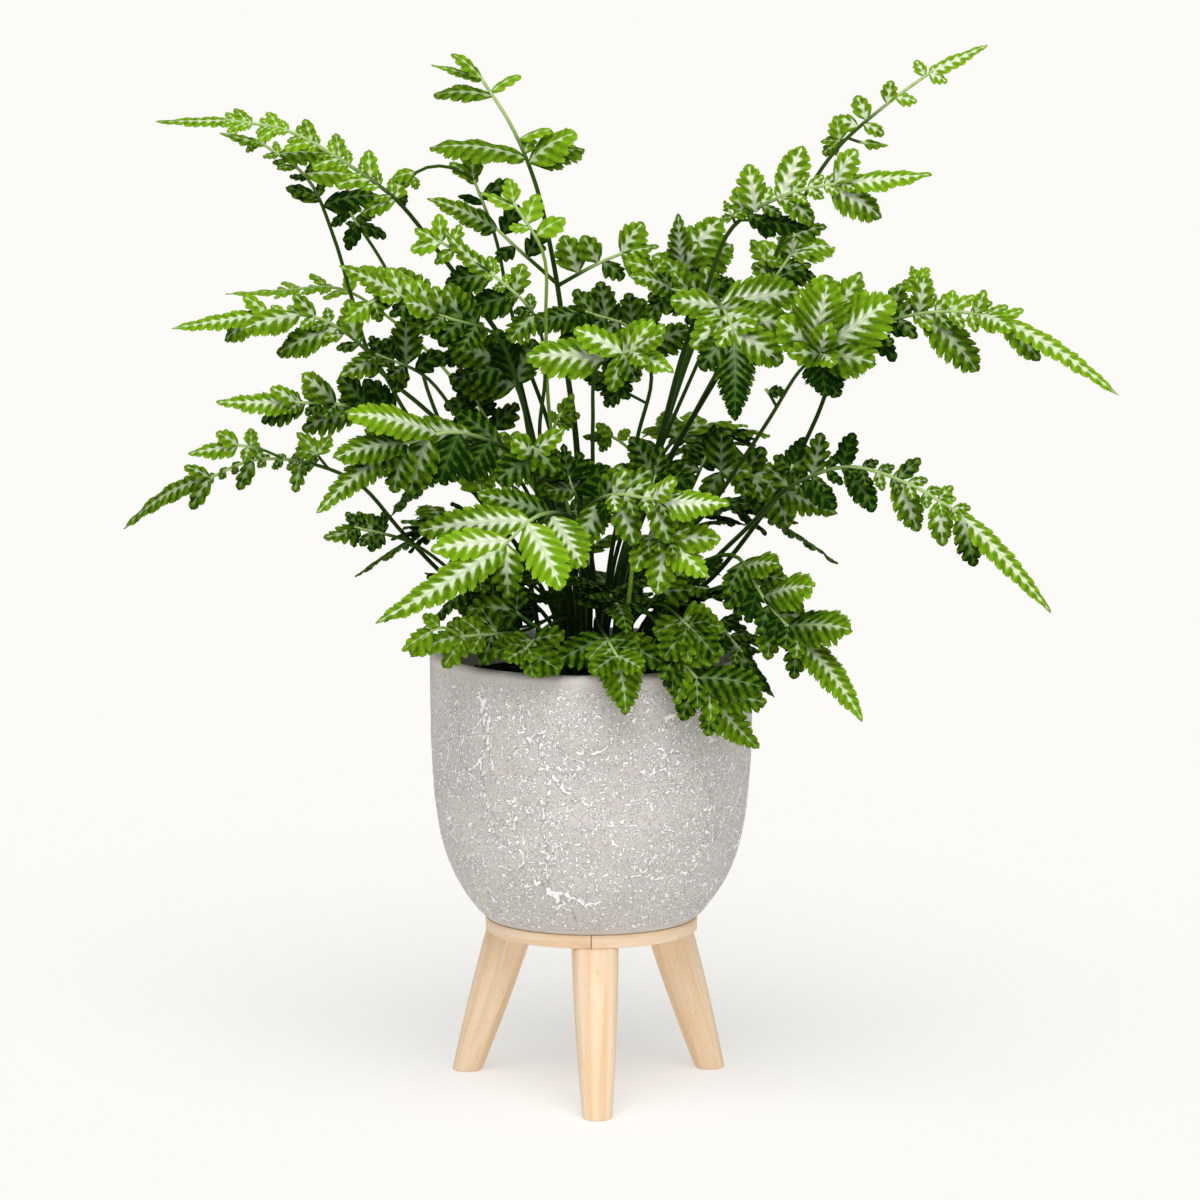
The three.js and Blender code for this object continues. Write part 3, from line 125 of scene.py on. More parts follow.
# The fronds that the front view shows: name, path and leaves, then what is their own
PLANS = (
    Plan("frond_front_low_left",
         ((-4, 225, -22), (-6, 262, -48), (-14, 273, -62), (-29, 266, -84), (-41, 255, -100),
          (-60, 242, -120), (-100, 219, -150)),
         ((0.1, -53, 279, -12, 0.9), (0.5, -78, 266, -18, 0.85), (0.92, -74, 253, -16, 1.05),
          (0.15, -4, 245, -22, 1.5), (0.55, -20, 233, -22, 1.35), (0.97, -38, 229, -20, 1.55)),
         face=62, girth=1.5, end=0.38, lobe=11.5, wide=0.19, silver=0.82, fill=0, tip=0.75),
    Plan("frond_front_high_left",
         ((-12, 240, -12), (-22, 285, -28), (-42, 302, -44), (-56, 308, -54), (-69, 307, -64),
          (-83, 304, -76), (-98, 297, -88), (-113, 285, -102), (-127, 270, -116)),
         ((0.1, -58, 286, -14, 1.8), (0.42, -70, 284, -16, 1.8), (0.3, -104, 318, -8, 0.85),
          (0.62, -122, 307, -14, 0.8), (0.72, -85, 283, -16, 1.5), (0.97, -92, 282, -12, 1.6),
          (0.97, -119, 296, -22, 0.95), (0, -62, 318, 6, 1.2)),
         face=58, girth=1.4, lobe=12, wide=0.2, silver=0.78, fill=0, tip=0.68),
    Plan("frond_right_nodding",
         ((12, 240, 2), (34, 310, -4), (50, 355, -12), (59, 371, -26), (66, 354, -46),
          (67, 335, -58), (66, 313, -66)),
         ((0.1, 96, 373, -4), (0.55, 92, 352, -8), (0.97, 88, 340, -8), (0.1, 36, 369, -4),
          (0.55, 46, 347, -8), (0.97, 50, 337, -8)),
         face=66, girth=1.4, neck=3, end=0.36, lobe=12.5, full=1.25, silver=0.85, fill=0.8),
    Plan("frond_right_star",
         ((22, 238, 4), (46, 262, -8), (71, 297, -30), (98, 340, -58), (104, 350, -68),
          (107, 342, -78), (108, 325, -88)),
         ((0, 108, 381, 2), (0.1, 124, 381, -6), (0.3, 139, 370, -10), (0.8, 131, 340, -12),
          (0.3, 86, 361, -4), (0.8, 89, 343, -6)),
         face=66, girth=1.4, neck=4, end=0.3, lobe=12, full=1.4, fill=0.8),
    Plan("frond_right_long",
         ((32, 219, -8), (53, 237, -16), (66, 253, -22), (82, 273, -32), (97, 300, -42),
          (108, 324, -52), (122, 352, -62), (137, 359, -68), (153, 363, -74), (163, 364, -80),
          (187, 361, -96), (204, 354, -110), (216, 346, -120), (228, 339, -128), (238, 332, -134),
          (243, 325, -140)),
         ((0.18, 143, 378, 2), (0.1, 140, 341, -10), (0.42, 153, 383, 4), (0.45, 178, 336, -14),
          (0.62, 166, 374, 2), (0.78, 181, 374, -4), (0.8, 196, 348, -14), (0.98, 207, 343, -10)),
         face=56, girth=1.3, neck=6, end=0.54, lobe=6.5, wide=0.2, silver=0.7, fill=0.8, tip=0.8),
    Plan("frond_right_low",
         ((41, 230, -16), (66, 257, -30), (91, 282, -46), (108, 290, -54), (118, 292, -58),
          (139, 286, -68), (150, 283, -74), (167, 273, -84), (186, 256, -94), (200, 240, -102),
          (213, 224, -110)),
         ((0.15, 106, 308, 2), (0.3, 121, 308, 0), (0.1, 113, 272, -12), (0.35, 131, 273, -12),
          (0.62, 152, 296, 0), (0.6, 152, 263, -10), (0.85, 167, 283, -2), (0.85, 163, 256, -10),
          (1, 178, 246, -8), (0, 80, 293, 2)),
         face=58, girth=1.4, end=0.6, lobe=9, wide=0.22, full=1.15, silver=0.8, fill=0.6, tip=0.65),
    Plan("frond_right_bottom",
         ((30, 226, -20), (52, 248, -36), (68, 250, -46), (81, 229, -62), (90, 218, -72),
          (102, 206, -84), (112, 195, -92), (126, 173, -104)),
         ((0.1, 99, 239, -8), (0.42, 121, 226, -12), (0.8, 126, 209, -12), (0.15, 66, 224, -12),
          (0.55, 82, 203, -12), (0.92, 94, 194, -10)),
         face=60, girth=1.3, end=0.55, lobe=11, wide=0.22, silver=0.6, fill=0.8, tip=0.7),
    Plan("frond_rim_front",
         ((2, 222, -30), (4, 218, -48), (6, 213, -64), (11, 206, -80), (15, 192, -88),
          (16, 176, -91)),
         ((0.1, -16, 201, -12), (0.1, 34, 200, -8), (0.9, -2, 191, -8), (0.9, 30, 189, -6)),
         face=64, girth=1.1, end=0.45, lobe=10, wide=0.22, full=1.3, silver=0.4, fill=0.8, tip=1.05,
         shade=0.7),
    Plan("frond_rim_right",
         ((16, 224, -26), (28, 222, -50), (36, 208, -70), (48, 193, -78), (56, 186, -76),
          (66, 172, -74), (78, 160, -68)),
         ((0.2, 27, 190, -8), (0.6, 42, 173, -6), (0.97, 54, 165, -4), (0.3, 62, 206, -2),
          (0.6, 80, 186, -2), (0.97, 82, 171, -4)),
         face=58, girth=1.1, lobe=10, wide=0.22, silver=0.4, tip=1.0, shade=0.7),
    Plan("frond_middle_right",
         ((2, 236, -20), (-2, 266, -40), (-1, 277, -58), (12, 279, -70), (28, 276, -82),
          (46, 275, -94), (64, 275, -104)),
         ((0.05, -6, 253, -16), (0.4, 20, 255, -12), (0.85, 36, 256, -10), (0.4, 28, 291, 0),
          (0.85, 52, 286, -6), (0.05, 14, 293, 4)),
         face=58, girth=1.3, end=0.58, lobe=10, wide=0.2, full=1.25, silver=1.0, fill=0.8),
    Plan("frond_pale_stalk",
         ((15, 212, -40), (17, 229, -50), (21, 253, -62), (24, 262, -72), (34, 260, -84),
          (44, 251, -94), (54, 240, -102)),
         ((0.2, 20, 243, -12), (0.3, 48, 271, -4), (0.8, 30, 233, -8), (0.8, 60, 258, -6)),
         face=56, girth=1.4, neck=3, end=0.45, lobe=10, wide=0.22, light=True, full=1.3, silver=0.7,
         fill=0.8),
    Plan("frond_top",
         ((-4, 250, 4), (-7, 305, 8), (-11, 335, 10), (-14, 364, 12), (-15, 376, 12),
          (-19, 395, 14), (-24, 414, 16), (-28, 433, 18), (-38, 452, 22), (-42, 462, 24),
          (-48, 470, 26), (-59, 475, 30), (-73, 477, 34)),
         ((0, -7, 446, -4, 1.3), (0.02, -3, 438, 6, 1.1), (0.1, -23, 453, 4, 1.3),
          (0.05, -74, 439, 4), (0.75, -72, 463, 2), (0.8, -32, 472, 2), (0.97, -64, 482, 0),
          (0.25, -17, 442, 2)),
         face=40, girth=1.9, neck=7, end=0.66, lobe=3.5, wide=0.26, full=0.72, silver=0.4, fill=0),
    Plan("frond_top_right_branch",
         ((-15, 376, 12), (-8, 380, 8), (1, 385, 4), (15, 391, -2), (31, 394, -8)),
         ((0.1, -13, 399, 2), (0.5, -4, 399, 2), (0.95, 24, 405, 0), (0.6, 15, 379, -4),
          (0.97, 31, 384, -4)),
         face=50, girth=1, neck=1, end=0.6, lobe=6, wide=0.3, full=1.25, silver=0.6, fill=0,
         on='frond_top'),
    Plan("frond_top_left_branch",
         ((-15, 376, 12), (-26, 386, 6), (-34, 393, 2), (-46, 404, -4), (-60, 411, -8),
          (-75, 416, -12)),
         ((0.2, -21, 403, 4), (0.8, -34, 414, 2), (0.5, -44, 387, -6)),
         face=50, girth=1, neck=1, end=0.42, wide=0.26, silver=0.6, fill=0, on='frond_top'),
    Plan("frond_upper_right",
         ((14, 240, -10), (32, 305, -16), (38, 330, -18), (45, 353, -20), (54, 377, -20),
          (61, 395, -20), (68, 407, -20), (85, 416, -26), (105, 422, -32), (122, 424, -38),
          (156, 427, -48)),
         ((0.05, 66, 421, 2), (0.15, 76, 432, 0), (0.42, 96, 441, 2), (0.4, 102, 405, -8),
          (0.85, 126, 437, 0), (0.8, 134, 410, -8), (0.1, 84, 399, -6)),
         face=50, girth=1.9, neck=6, end=0.6, lobe=7.5, silver=0.95, fill=0.6),
    Plan("frond_top_far_right",
         ((14, 244, 8), (45, 312, 20), (60, 337, 26), (76, 363, 32), (83, 383, 36), (87, 401, 40),
          (103, 423, 46), (112, 438, 50), (122, 450, 54), (134, 458, 58), (146, 466, 62),
          (157, 475, 66), (181, 486, 74)),
         ((0, 110, 451, 2), (0.1, 121, 463, 2), (0.05, 134, 445, -2), (0.4, 137, 470, 2),
          (0.5, 149, 460, -2), (0.9, 148, 479, 2), (0.95, 163, 470, -2)),
         face=50, girth=1.6, neck=8, end=0.6, lobe=5, wide=0.3, full=1.15, silver=0.95, fill=0),
    Plan("frond_left_long",
         ((-42, 221, 4), (-75, 247, 16), (-106, 283, 34), (-125, 292, 46), (-144, 296, 58),
          (-160, 294, 70), (-175, 287, 82), (-197, 279, 98), (-216, 263, 112)),
         ((0.15, -134, 303, 2), (0.5, -157, 305, 2), (0.55, -163, 281, -4), (0.95, -188, 292, 2),
          (0.97, -185, 272, -4), (0.15, -137, 280, -6)),
         face=50, neck=3, end=0.55, lobe=7, wide=0.2, silver=0.6, fill=0.5),
    Plan("frond_left_middle",
         ((-33, 253, -4), (-56, 281, -10), (-74, 304, -18), (-88, 316, -26), (-109, 320, -34),
          (-125, 322, -40), (-146, 322, -48), (-173, 322, -58)),
         ((0.3, -120, 333, 0), (0.6, -137, 333, 0), (0.95, -150, 332, -2), (0.35, -134, 312, -6),
          (0.85, -153, 315, -4), (0.05, -104, 334, 2), (0.05, -104, 303, -8)),
         face=56, girth=1.3, neck=3, end=0.6, lobe=7.5, wide=0.21, full=1.25, silver=0.8, fill=0.6),
    Plan("frond_left_high",
         ((-20, 250, 6), (-56, 281, 10), (-74, 299, 14), (-86, 318, 16), (-97, 335, 18),
          (-104, 348, 20), (-113, 356, 22), (-123, 360, 24), (-134, 363, 26), (-151, 363, 28),
          (-166, 361, 28), (-193, 356, 28)),
         ((0.1, -112, 370, 2), (0.3, -147, 350, -6), (0.65, -160, 353, -4), (0.5, -137, 372, 2),
          (0.95, -172, 354, -3), (0.9, -160, 371, 2)),
         face=54, girth=1.4, neck=5, end=0.58, lobe=6, wide=0.21, silver=0.7, fill=0.5),
    Plan("frond_top_left",
         ((-14, 249, 8), (-28, 307, 20), (-32, 333, 24), (-46, 358, 30), (-55, 371, 34),
          (-66, 386, 38), (-76, 399, 42), (-88, 414, 46), (-100, 423, 50), (-109, 430, 52),
          (-123, 438, 54), (-134, 445, 56), (-156, 451, 58), (-170, 452, 60), (-199, 451, 62)),
         face=46, girth=1.6, neck=7, end=0.74, lobe=4, wide=0.26, pairs=6, long=18, short=10,
         full=0.95, silver=0.5, fill=0.7),
    Plan("frond_far_left",
         ((-16, 246, 20), (-56, 300, 54), (-86, 327, 72), (-102, 343, 80), (-108, 364, 84),
          (-115, 384, 88), (-119, 402, 90), (-123, 414, 92), (-130, 425, 92), (-136, 433, 92),
          (-142, 437, 92), (-150, 442, 92), (-170, 446, 90)),
         ((0, -97, 417, 2), (0.05, -140, 421, 2), (0.35, -108, 426, 2), (0.6, -146, 432, -2),
          (0.7, -120, 436, 2), (0.97, -158, 437, -2)),
         face=46, girth=1.5, neck=7, end=0.72, lobe=4, wide=0.28, full=0.9, silver=0.4, fill=0.6),
    Plan("frond_left_small_head",
         ((-22, 250, 14), (-56, 290, 34), (-74, 320, 44), (-77, 343, 50), (-81, 353, 52),
          (-85, 365, 54), (-94, 383, 58), (-104, 402, 60), (-116, 415, 62)),
         ((0.2, -94, 398, 2), (0.6, -99, 408, 2), (0.4, -112, 392, -2), (0.97, -119, 403, -2)),
         face=46, neck=7, end=0.6, lobe=3.5, wide=0.3, full=0.95, silver=0.4, fill=0.6),
    Plan("frond_left_side_on",
         ((-10, 252, 26), (-40, 300, 70), (-70, 340, 100), (-94, 362, 116), (-108, 373, 122),
          (-134, 374, 128), (-150, 373, 130), (-168, 372, 132)),
         face=20, girth=1, neck=4, end=0.6, lobe=4, wide=0.22, pairs=3, long=17, short=12,
         light=True, full=0.9, silver=0.3, fill=0.6),
    Plan("frond_inner_left_tall",
         ((-8, 250, 16), (-22, 320, 30), (-34, 352, 36), (-42, 389, 40), (-46, 406, 42),
          (-52, 419, 44), (-55, 428, 46), (-60, 436, 48)),
         ((0.4, -78, 427, 2, 0.7, 0.4), (0.5, -36, 424, 2), (0.95, -68, 440, 2, 0.9, 0.7),
          (0.95, -48, 439, -2)),
         face=44, girth=1.3, neck=4, end=0.6, lobe=4, wide=0.26, silver=0.5, fill=0),
    Plan("frond_pale_thin",
         ((-6, 250, -4), (-19, 312, -10), (-21, 367, -14), (-22, 391, -14), (-27, 405, -12),
          (-36, 414, -8), (-51, 419, -4)),
         ((0.3, -12, 407, 2), (0.6, -26, 420, 2), (0.5, -38, 402, -3), (0.97, -38, 425, 2)),
         face=40, girth=1, neck=3, end=0.62, lobe=4.5, wide=0.28, light=True, silver=0.4, fill=0),
    Plan("frond_inner_left",
         ((-14, 246, -8), (-24, 310, -16), (-21, 344, -24), (-26, 362, -30), (-41, 378, -34),
          (-58, 391, -36), (-68, 402, -38)),
         ((0, -38, 350, -8), (0.4, -55, 368, -6), (0.5, -31, 386, 2), (0.95, -68, 381, -4),
          (0.95, -48, 398, 2)),
         face=60, girth=1.1, neck=3, lobe=6, wide=0.3, silver=0.6, fill=0.5),
    Plan("frond_middle_upper",
         ((8, 244, 14), (20, 300, 26), (28, 338, 30), (26, 348, 24), (12, 360, 14), (-5, 364, 4),
          (-19, 364, -4), (-38, 358, -12)),
         ((0.1, 4, 340, -8), (0.3, 24, 370, 4), (0.7, 4, 378, 4), (0.8, -14, 346, -6),
          (0, 46, 356, 4)),
         face=56, girth=1.3, neck=3, lobe=9, wide=0.26),
    Plan("frond_middle_lower",
         ((0, 244, -14), (1, 300, -24), (1, 332, -34), (6, 343, -44), (16, 348, -54),
          (26, 344, -64), (38, 336, -72)),
         ((0.05, -30, 343, -2), (0.5, -8, 356, 2), (0.3, 34, 357, -2), (0.6, 6, 328, -8),
          (0.97, 44, 349, -4)),
         face=56, girth=1.3, neck=3, wide=0.22),
    Plan("frond_upper_fan",
         ((10, 246, 24), (34, 310, 44), (44, 348, 50), (48, 362, 50), (43, 378, 46), (40, 394, 40),
          (40, 409, 34)),
         ((0.3, 66, 378, -2), (0.8, 64, 400, 2), (0.97, 58, 411, 2), (0.4, 26, 380, -2),
          (0.95, 25, 397, 0)),
         face=56, neck=3, lobe=7.5, wide=0.26, silver=0.95),
    Plan("frond_upper_low",
         ((12, 244, 10), (40, 320, 12), (56, 356, 12), (60, 368, 6), (48, 372, -2), (30, 375, -8),
          (12, 375, -14)),
         ((0.2, 52, 385, 4), (0.6, 34, 388, 4), (0.3, 44, 358, -6), (0.9, 26, 361, -6)),
         face=56, neck=3, end=0.55, lobe=7, wide=0.26),
    Plan("frond_upper_back",
         ((16, 246, 16), (44, 310, 34), (66, 350, 46), (82, 376, 56), (88, 386, 62), (95, 395, 68),
          (100, 406, 72)),
         ((0.1, 74, 386, 2), (0.5, 80, 398, 2), (0.3, 104, 386, 2), (0.95, 112, 400, 4),
          (0.97, 88, 412, 2)),
         face=40, girth=1.3, neck=3, end=0.55, lobe=6, wide=0.3),
    Plan("frond_right_inner",
         ((20, 234, -2), (44, 266, 2), (58, 288, 2), (68, 292, -2), (84, 284, -8), (98, 277, -12),
          (114, 270, -18)),
         ((0.1, 60, 309, 0), (0.1, 52, 276, -8), (0.6, 78, 272, -8), (0.5, 80, 301, 0),
          (0.97, 104, 290, -2), (0.97, 92, 264, -8)),
         face=58, lobe=7.5, full=1.4, tip=1.1),
    Plan("frond_right_upright",
         ((18, 236, 6), (40, 270, 14), (50, 290, 18), (54, 299, 16), (57, 312, 12)),
         ((0.5, 42, 308, 0), (0.6, 69, 307, 0), (0, 38, 297, 0)),
         face=50, girth=1, end=0.4, lobe=6, wide=0.32),
    Plan("frond_rim_far_right",
         ((26, 222, -10), (44, 228, -26), (56, 222, -38), (68, 208, -52), (76, 196, -58),
          (85, 184, -62)),
         ((0.2, 70, 222, 4), (0.6, 82, 208, 4), (0.4, 57, 202, -8), (0.95, 70, 189, -6)),
         face=30, girth=1, lobe=6),
    Plan("frond_rim_maple",
         ((20, 222, -36), (32, 228, -54), (43, 226, -66), (46, 214, -76), (45, 200, -82)),
         ((0.3, 62, 219, -4), (0.3, 30, 216, -8), (0.95, 58, 203, -4), (0.95, 33, 202, -6)),
         face=66, girth=1, end=0.4, wide=0.36, full=1.3, silver=0.4, shade=0.7),
    Plan("frond_rim_left",
         ((-10, 222, -22), (-26, 218, -44), (-38, 213, -58), (-54, 213, -66), (-71, 211, -70),
          (-84, 203, -72)),
         ((0.2, -52, 227, 2), (0.6, -68, 226, 2), (0.3, -50, 199, -8), (0.9, -70, 199, -6)),
         face=60, girth=1, lobe=7, wide=0.26, silver=0.4, shade=0.7),
    Plan("frond_rim_front_left",
         ((-8, 222, -30), (-18, 219, -50), (-28, 214, -64), (-31, 205, -76), (-27, 193, -84)),
         ((0.3, -12, 211, -6), (0.4, -46, 205, -4), (0.95, -43, 195, -4), (0.95, -14, 196, -6)),
         face=62, girth=1, end=0.45, lobe=7, wide=0.3, silver=0.4, shade=0.7),
    Plan("frond_left_lower",
         ((-40, 224, -14), (-70, 246, -24), (-92, 262, -34), (-108, 264, -42), (-124, 259, -50)),
         ((0.2, -96, 276, 2, 0.9, 0.7), (0.7, -112, 276, 0, 0.9, 0.6),
          (0.3, -102, 250, -6, 0.9, 0.6), (0.9, -112, 249, -6, 0.9, 0.6)),
         face=54, girth=1.1, end=0.55, lobe=7),
    Plan("frond_left_fold",
         ((-18, 246, -6), (-50, 298, -14), (-72, 328, -20), (-82, 341, -24), (-92, 346, -30),
          (-104, 342, -38), (-116, 334, -46)),
         ((0.2, -85, 362, 2), (0.6, -106, 360, 2), (0.3, -90, 326, -8), (0.97, -106, 325, -8),
          (0, -68, 345, 0)),
         face=60, neck=3, lobe=8.5, wide=0.26),
    Plan("frond_left_bright",
         ((-16, 252, -14), (-29, 306, -28), (-36, 338, -32), (-48, 357, -40), (-61, 360, -46),
          (-72, 363, -52), (-93, 374, -60), (-104, 380, -64), (-116, 385, -68)),
         ((0.25, -66, 377, 2), (0.6, -88, 387, 2), (0.95, -106, 388, 2), (0.2, -70, 348, -6),
          (0.55, -96, 361, -6), (0.95, -109, 370, -4)),
         face=56, girth=1.1, neck=3, end=0.64, lobe=7, wide=0.26),
    Plan("frond_inner_left_low",
         ((-12, 250, 6), (-24, 290, 8), (-30, 316, 8), (-32, 328, 6), (-42, 339, 4), (-54, 347, 2),
          (-73, 357, 0), (-86, 356, -2)),
         ((0.1, -64, 336, -8), (0.5, -72, 345, -6), (0.15, -42, 354, 2), (0.6, -60, 364, 4)),
         face=56, girth=1.1, neck=3, end=0.6, lobe=6.5, wide=0.26),
    Plan("frond_inner_left_back",
         ((-10, 250, 14), (-26, 284, 18), (-38, 298, 20), (-43, 305, 20), (-50, 318, 20),
          (-58, 328, 20), (-66, 334, 20)),
         ((0.1, -66, 312, -2), (0.2, -32, 320, 2), (0.9, -68, 322, -2), (0.8, -46, 330, 2)),
         face=46, girth=1.1, neck=3, end=0.55, lobe=6.5, wide=0.28, full=1.25, silver=0.5,
         fill=0.8),
    Plan("frond_middle_left",
         ((-8, 244, -18), (-22, 272, -38), (-31, 296, -58), (-25, 303, -62), (-12, 310, -66)),
         ((0.1, -44, 285, -8), (0.9, -15, 291, -8), (0.2, -38, 310, -2), (0, -50, 296, -6)),
         face=58, girth=1.1, end=0.3, lobe=7, wide=0.3, full=1.3, silver=0.8, fill=0.5),
    Plan("frond_crown_left",
         ((-2, 240, -14), (-2, 262, -26), (-7, 278, -36), (-11, 288, -40), (-13, 303, -44)),
         ((0.2, -29, 290, -2), (0.2, 9, 292, -2), (0.8, -28, 301, 0), (0.8, 3, 306, -2)),
         face=50, girth=1.1, end=0.4, lobe=6.5, wide=0.28),
    Plan("frond_crown_right",
         ((10, 240, -8), (20, 262, -14), (28, 279, -20), (30, 288, -22), (33, 302, -24)),
         ((0.2, 12, 293, 0), (0.2, 49, 287, 0), (0.8, 18, 306, 0), (0.8, 46, 301, 0)),
         face=50, girth=1.1, end=0.4, lobe=6.5, wide=0.22),
)

# Fronds that the front view hides or shows only in part: name, direction in degrees with 0 at +X
# and 90 at the back, reach, greatest height, half width of the end lobe, pairs of leaflets
HIDDEN_PLANS = (
    ("frond_back_right", 55, 158, 300, 9, 2),
    ("frond_back_middle", 96, 150, 262, 9, 2),
    ("frond_back_left", 128, 158, 292, 9, 2),
    ("frond_back_far_left", 158, 120, 262, 8, 2),
    ("frond_back_far_right", 28, 132, 268, 8, 2),
    ("frond_low_front_left", 214, 92, 246, 8, 1),
    ("frond_low_front", 282, 76, 240, 7, 1),
    ("frond_low_right", 338, 96, 240, 8, 1),
    ("frond_low_left", 184, 96, 240, 8, 1),
    ("frond_low_back", 78, 92, 232, 8, 1),
)


def sprig(on: str, path: tuple[Row, ...], leaves: tuple[Row, ...] = (), **look: float) -> Plan:
    """Set out a small side branch that only the dressed frond has.

    Args:
        on: the frond that it grows from.
        path: its points, with depths from the stalk; a depth that isn't given is 0.
        leaves: its leaflets, with depths given in the same way.
        look: what differs from the usual sprig.

    Returns:
        The plan.
    """
    usual = dict(face=54, girth=0.7, neck=1, end=0.3, lobe=6, wide=0.3, silver=0.3, fill=0, tip=1.1)
    return Plan("sprig", tuple((*spot, 0)[:3] for spot in path),
                tuple((*leaf, 0)[:4] for leaf in leaves), on=on, **{**usual, **look})


SPRIGS = (
    sprig("frond_inner_left_tall",
          ((-57, 426), (-64, 430, 2), (-72, 431, 4), (-80, 428, 6), (-86, 421, 8), (-90, 416, 9)),
          ((0, -91, 425, 2), (0.2, -80, 420, -2), (0.7, -94, 420), (0.9, -86, 412)),
          girth=0.8, neck=3, end=0.75, lobe=3, full=1.0, silver=0.4),
    sprig("frond_left_middle",
          ((-49, 271), (-50, 279, -3), (-52, 284, -6), (-50, 292, -8)),
          ((0.3, -60, 291, -2), (0.6, -44, 287, -2)),
          end=0.4, lobe=4, wide=0.4, light=True, silver=0.1),
    sprig("frond_pale_thin",
          ((-19, 304), (-17, 311, 2), (-13, 318, 4), (-8, 326, 6)),
          ((0.2, -19, 318), (0.6, -5, 316), (0.2, -8, 311)),
          end=0.4, lobe=4, light=True, silver=0.1),
    sprig("frond_middle_upper",
          ((19, 298), (13, 304, 6), (7, 307, 10), (-4, 306, 14)),
          ((0.2, 18, 309), (0.7, 4, 299), (0.5, 2, 312)),
          end=0.4, lobe=4, wide=0.24, light=True, silver=0.1),
    sprig("frond_right_star",
          ((104, 349), (108, 356, 2), (116, 369, 4), (124, 382, 6)),
          end=0.2, lobe=10, wide=0.24, full=1.3, silver=0.75),
    sprig("frond_right_star",
          ((85, 319), (82, 326), (80, 329), (90, 327)),
          end=0.2, lobe=4, wide=0.24, silver=0.6),
    sprig("frond_upper_right",
          ((67, 406), (72, 406, -2), (85, 405, -6), (100, 402, -10)),
          end=0.15, lobe=6.5, wide=0.24, silver=0.6),
    sprig("frond_upper_right",
          ((66, 403), (65, 407, -2), (63, 411, -3), (61, 415, -4)),
          ((0.1, 72, 411), (0.1, 59, 406)),
          end=0.5, lobe=4, wide=0.4, silver=0.4),
    sprig("frond_top_far_right",
          ((85, 392), (92, 398, -2), (100, 402, -4), (108, 403, -6)),
          end=0.15, lobe=6.5, wide=0.24, silver=0.6),
    sprig("frond_top_far_right",
          ((82, 380), (80, 387, -2), (77, 393, -3), (73, 397, -4)),
          ((0.3, 88, 386),),
          end=0.15, lobe=5, wide=0.24, silver=0.4),
    sprig("frond_top_far_right",
          ((117, 444), (114, 442), (110, 443), (105, 442)),
          ((0.2, 112, 453), (0.2, 106, 436)),
          end=0.2, wide=0.34, silver=0.5),
    sprig("frond_top_far_right",
          ((117, 444), (122, 442), (128, 441), (136, 440)),
          lobe=2.6, wide=0.24),
    sprig("frond_inner_left",
          ((-55, 389), (-61, 391), (-69, 396), (-81, 402)),
          ((0.2, -72, 386), (0.8, -83, 392), (0.3, -60, 404), (0.8, -70, 409)),
          end=0.5, lobe=5.5, wide=0.26, full=1.1, silver=0.6),
    sprig("frond_middle_upper",
          ((24, 322), (15, 327, 2), (5, 332, 4), (-6, 337, 6)),
          ((0.4, 6, 320), (0.7, 6, 340)),
          end=0.15, silver=0.6),
    sprig("frond_right_long",
          ((146, 361), (149, 370), (150, 378), (147, 385)),
          ((0.4, 143, 378), (0.8, 155, 384), (0.6, 157, 377)),
          end=0.6, lobe=3, wide=0.36),
    sprig("frond_left_long",
          ((-142, 296), (-152, 300), (-164, 302), (-186, 298)),
          ((0.4, -157, 310), (0.9, -173, 308), (0.5, -160, 294)),
          end=0.35, lobe=5, wide=0.26, full=1.3, silver=0.6),
    sprig("frond_left_long",
          ((-122, 291), (-126, 297), (-130, 303), (-136, 308)),
          ((0.2, -120, 306), (0.2, -136, 299)),
          end=0.2, lobe=5, silver=0.5),
    sprig("frond_rim_left",
          ((-60, 212), (-68, 217, -2), (-77, 214, -4), (-88, 206, -6)),
          ((0.3, -78, 223), (0.9, -84, 204)),
          lobe=5, light=True),
    sprig("frond_rim_front_left",
          ((-24, 216), (-32, 222, 6), (-40, 228, 12), (-52, 233, 18)),
          ((0.2, -48, 220), (0.5, -34, 237), (0.8, -58, 225)),
          lobe=6.5, silver=0.5),
    sprig("frond_rim_left",
          ((-34, 215), (-42, 222, 10), (-52, 231, 20), (-62, 240, 28)),
          ((0.3, -62, 226), (0.5, -46, 241), (0.1, -34, 230)),
          lobe=6.5, silver=0.5),
    sprig("frond_right_low",
          ((91, 282), (92, 290), (95, 298), (98, 306)),
          ((0.3, 84, 297), (0.3, 105, 299)),
          end=0.2, silver=0.6),
    sprig("frond_upper_low",
          ((36, 373), (30, 380, -2), (24, 385, -4), (16, 388, -6)),
          ((0.4, 20, 377), (0.4, 34, 388)),
          silver=0.6),
    sprig("frond_left_bright",
          ((-91, 373), (-98, 370, -2), (-105, 366, -4), (-114, 359, -6)),
          ((0.4, -97, 359),),
          silver=0.5),
    sprig("frond_low_left",
          ((-24, 224), (-34, 224, 10), (-44, 222, 16), (-56, 220, 22)),
          ((0.1, -33, 234), (0.3, -45, 211), (0.5, -49, 232))),
    sprig("frond_back_far_left",
          ((-19, 222), (-28, 218, 14), (-38, 216, 22), (-50, 214, 28)),
          ((0.2, -30, 228), (0.6, -44, 225))),
    sprig("frond_upper_back",
          ((13, 226), (24, 224, 8), (34, 222, 14), (48, 218, 20)),
          ((0.1, 22, 235), (0.3, 31, 212), (0.6, 42, 231))),
    sprig("frond_right_star",
          ((19, 212), (29, 216, 14), (42, 221, 24), (58, 226, 32)),
          ((0.2, 34, 228), (0.3, 44, 212), (0.7, 54, 236))),
    sprig("frond_rim_right",
          ((24, 222), (30, 232), (38, 240), (46, 246)),
          ((0.3, 48, 234), (0.5, 30, 247)),
          lobe=6.5, wide=0.32, silver=0.5),
)


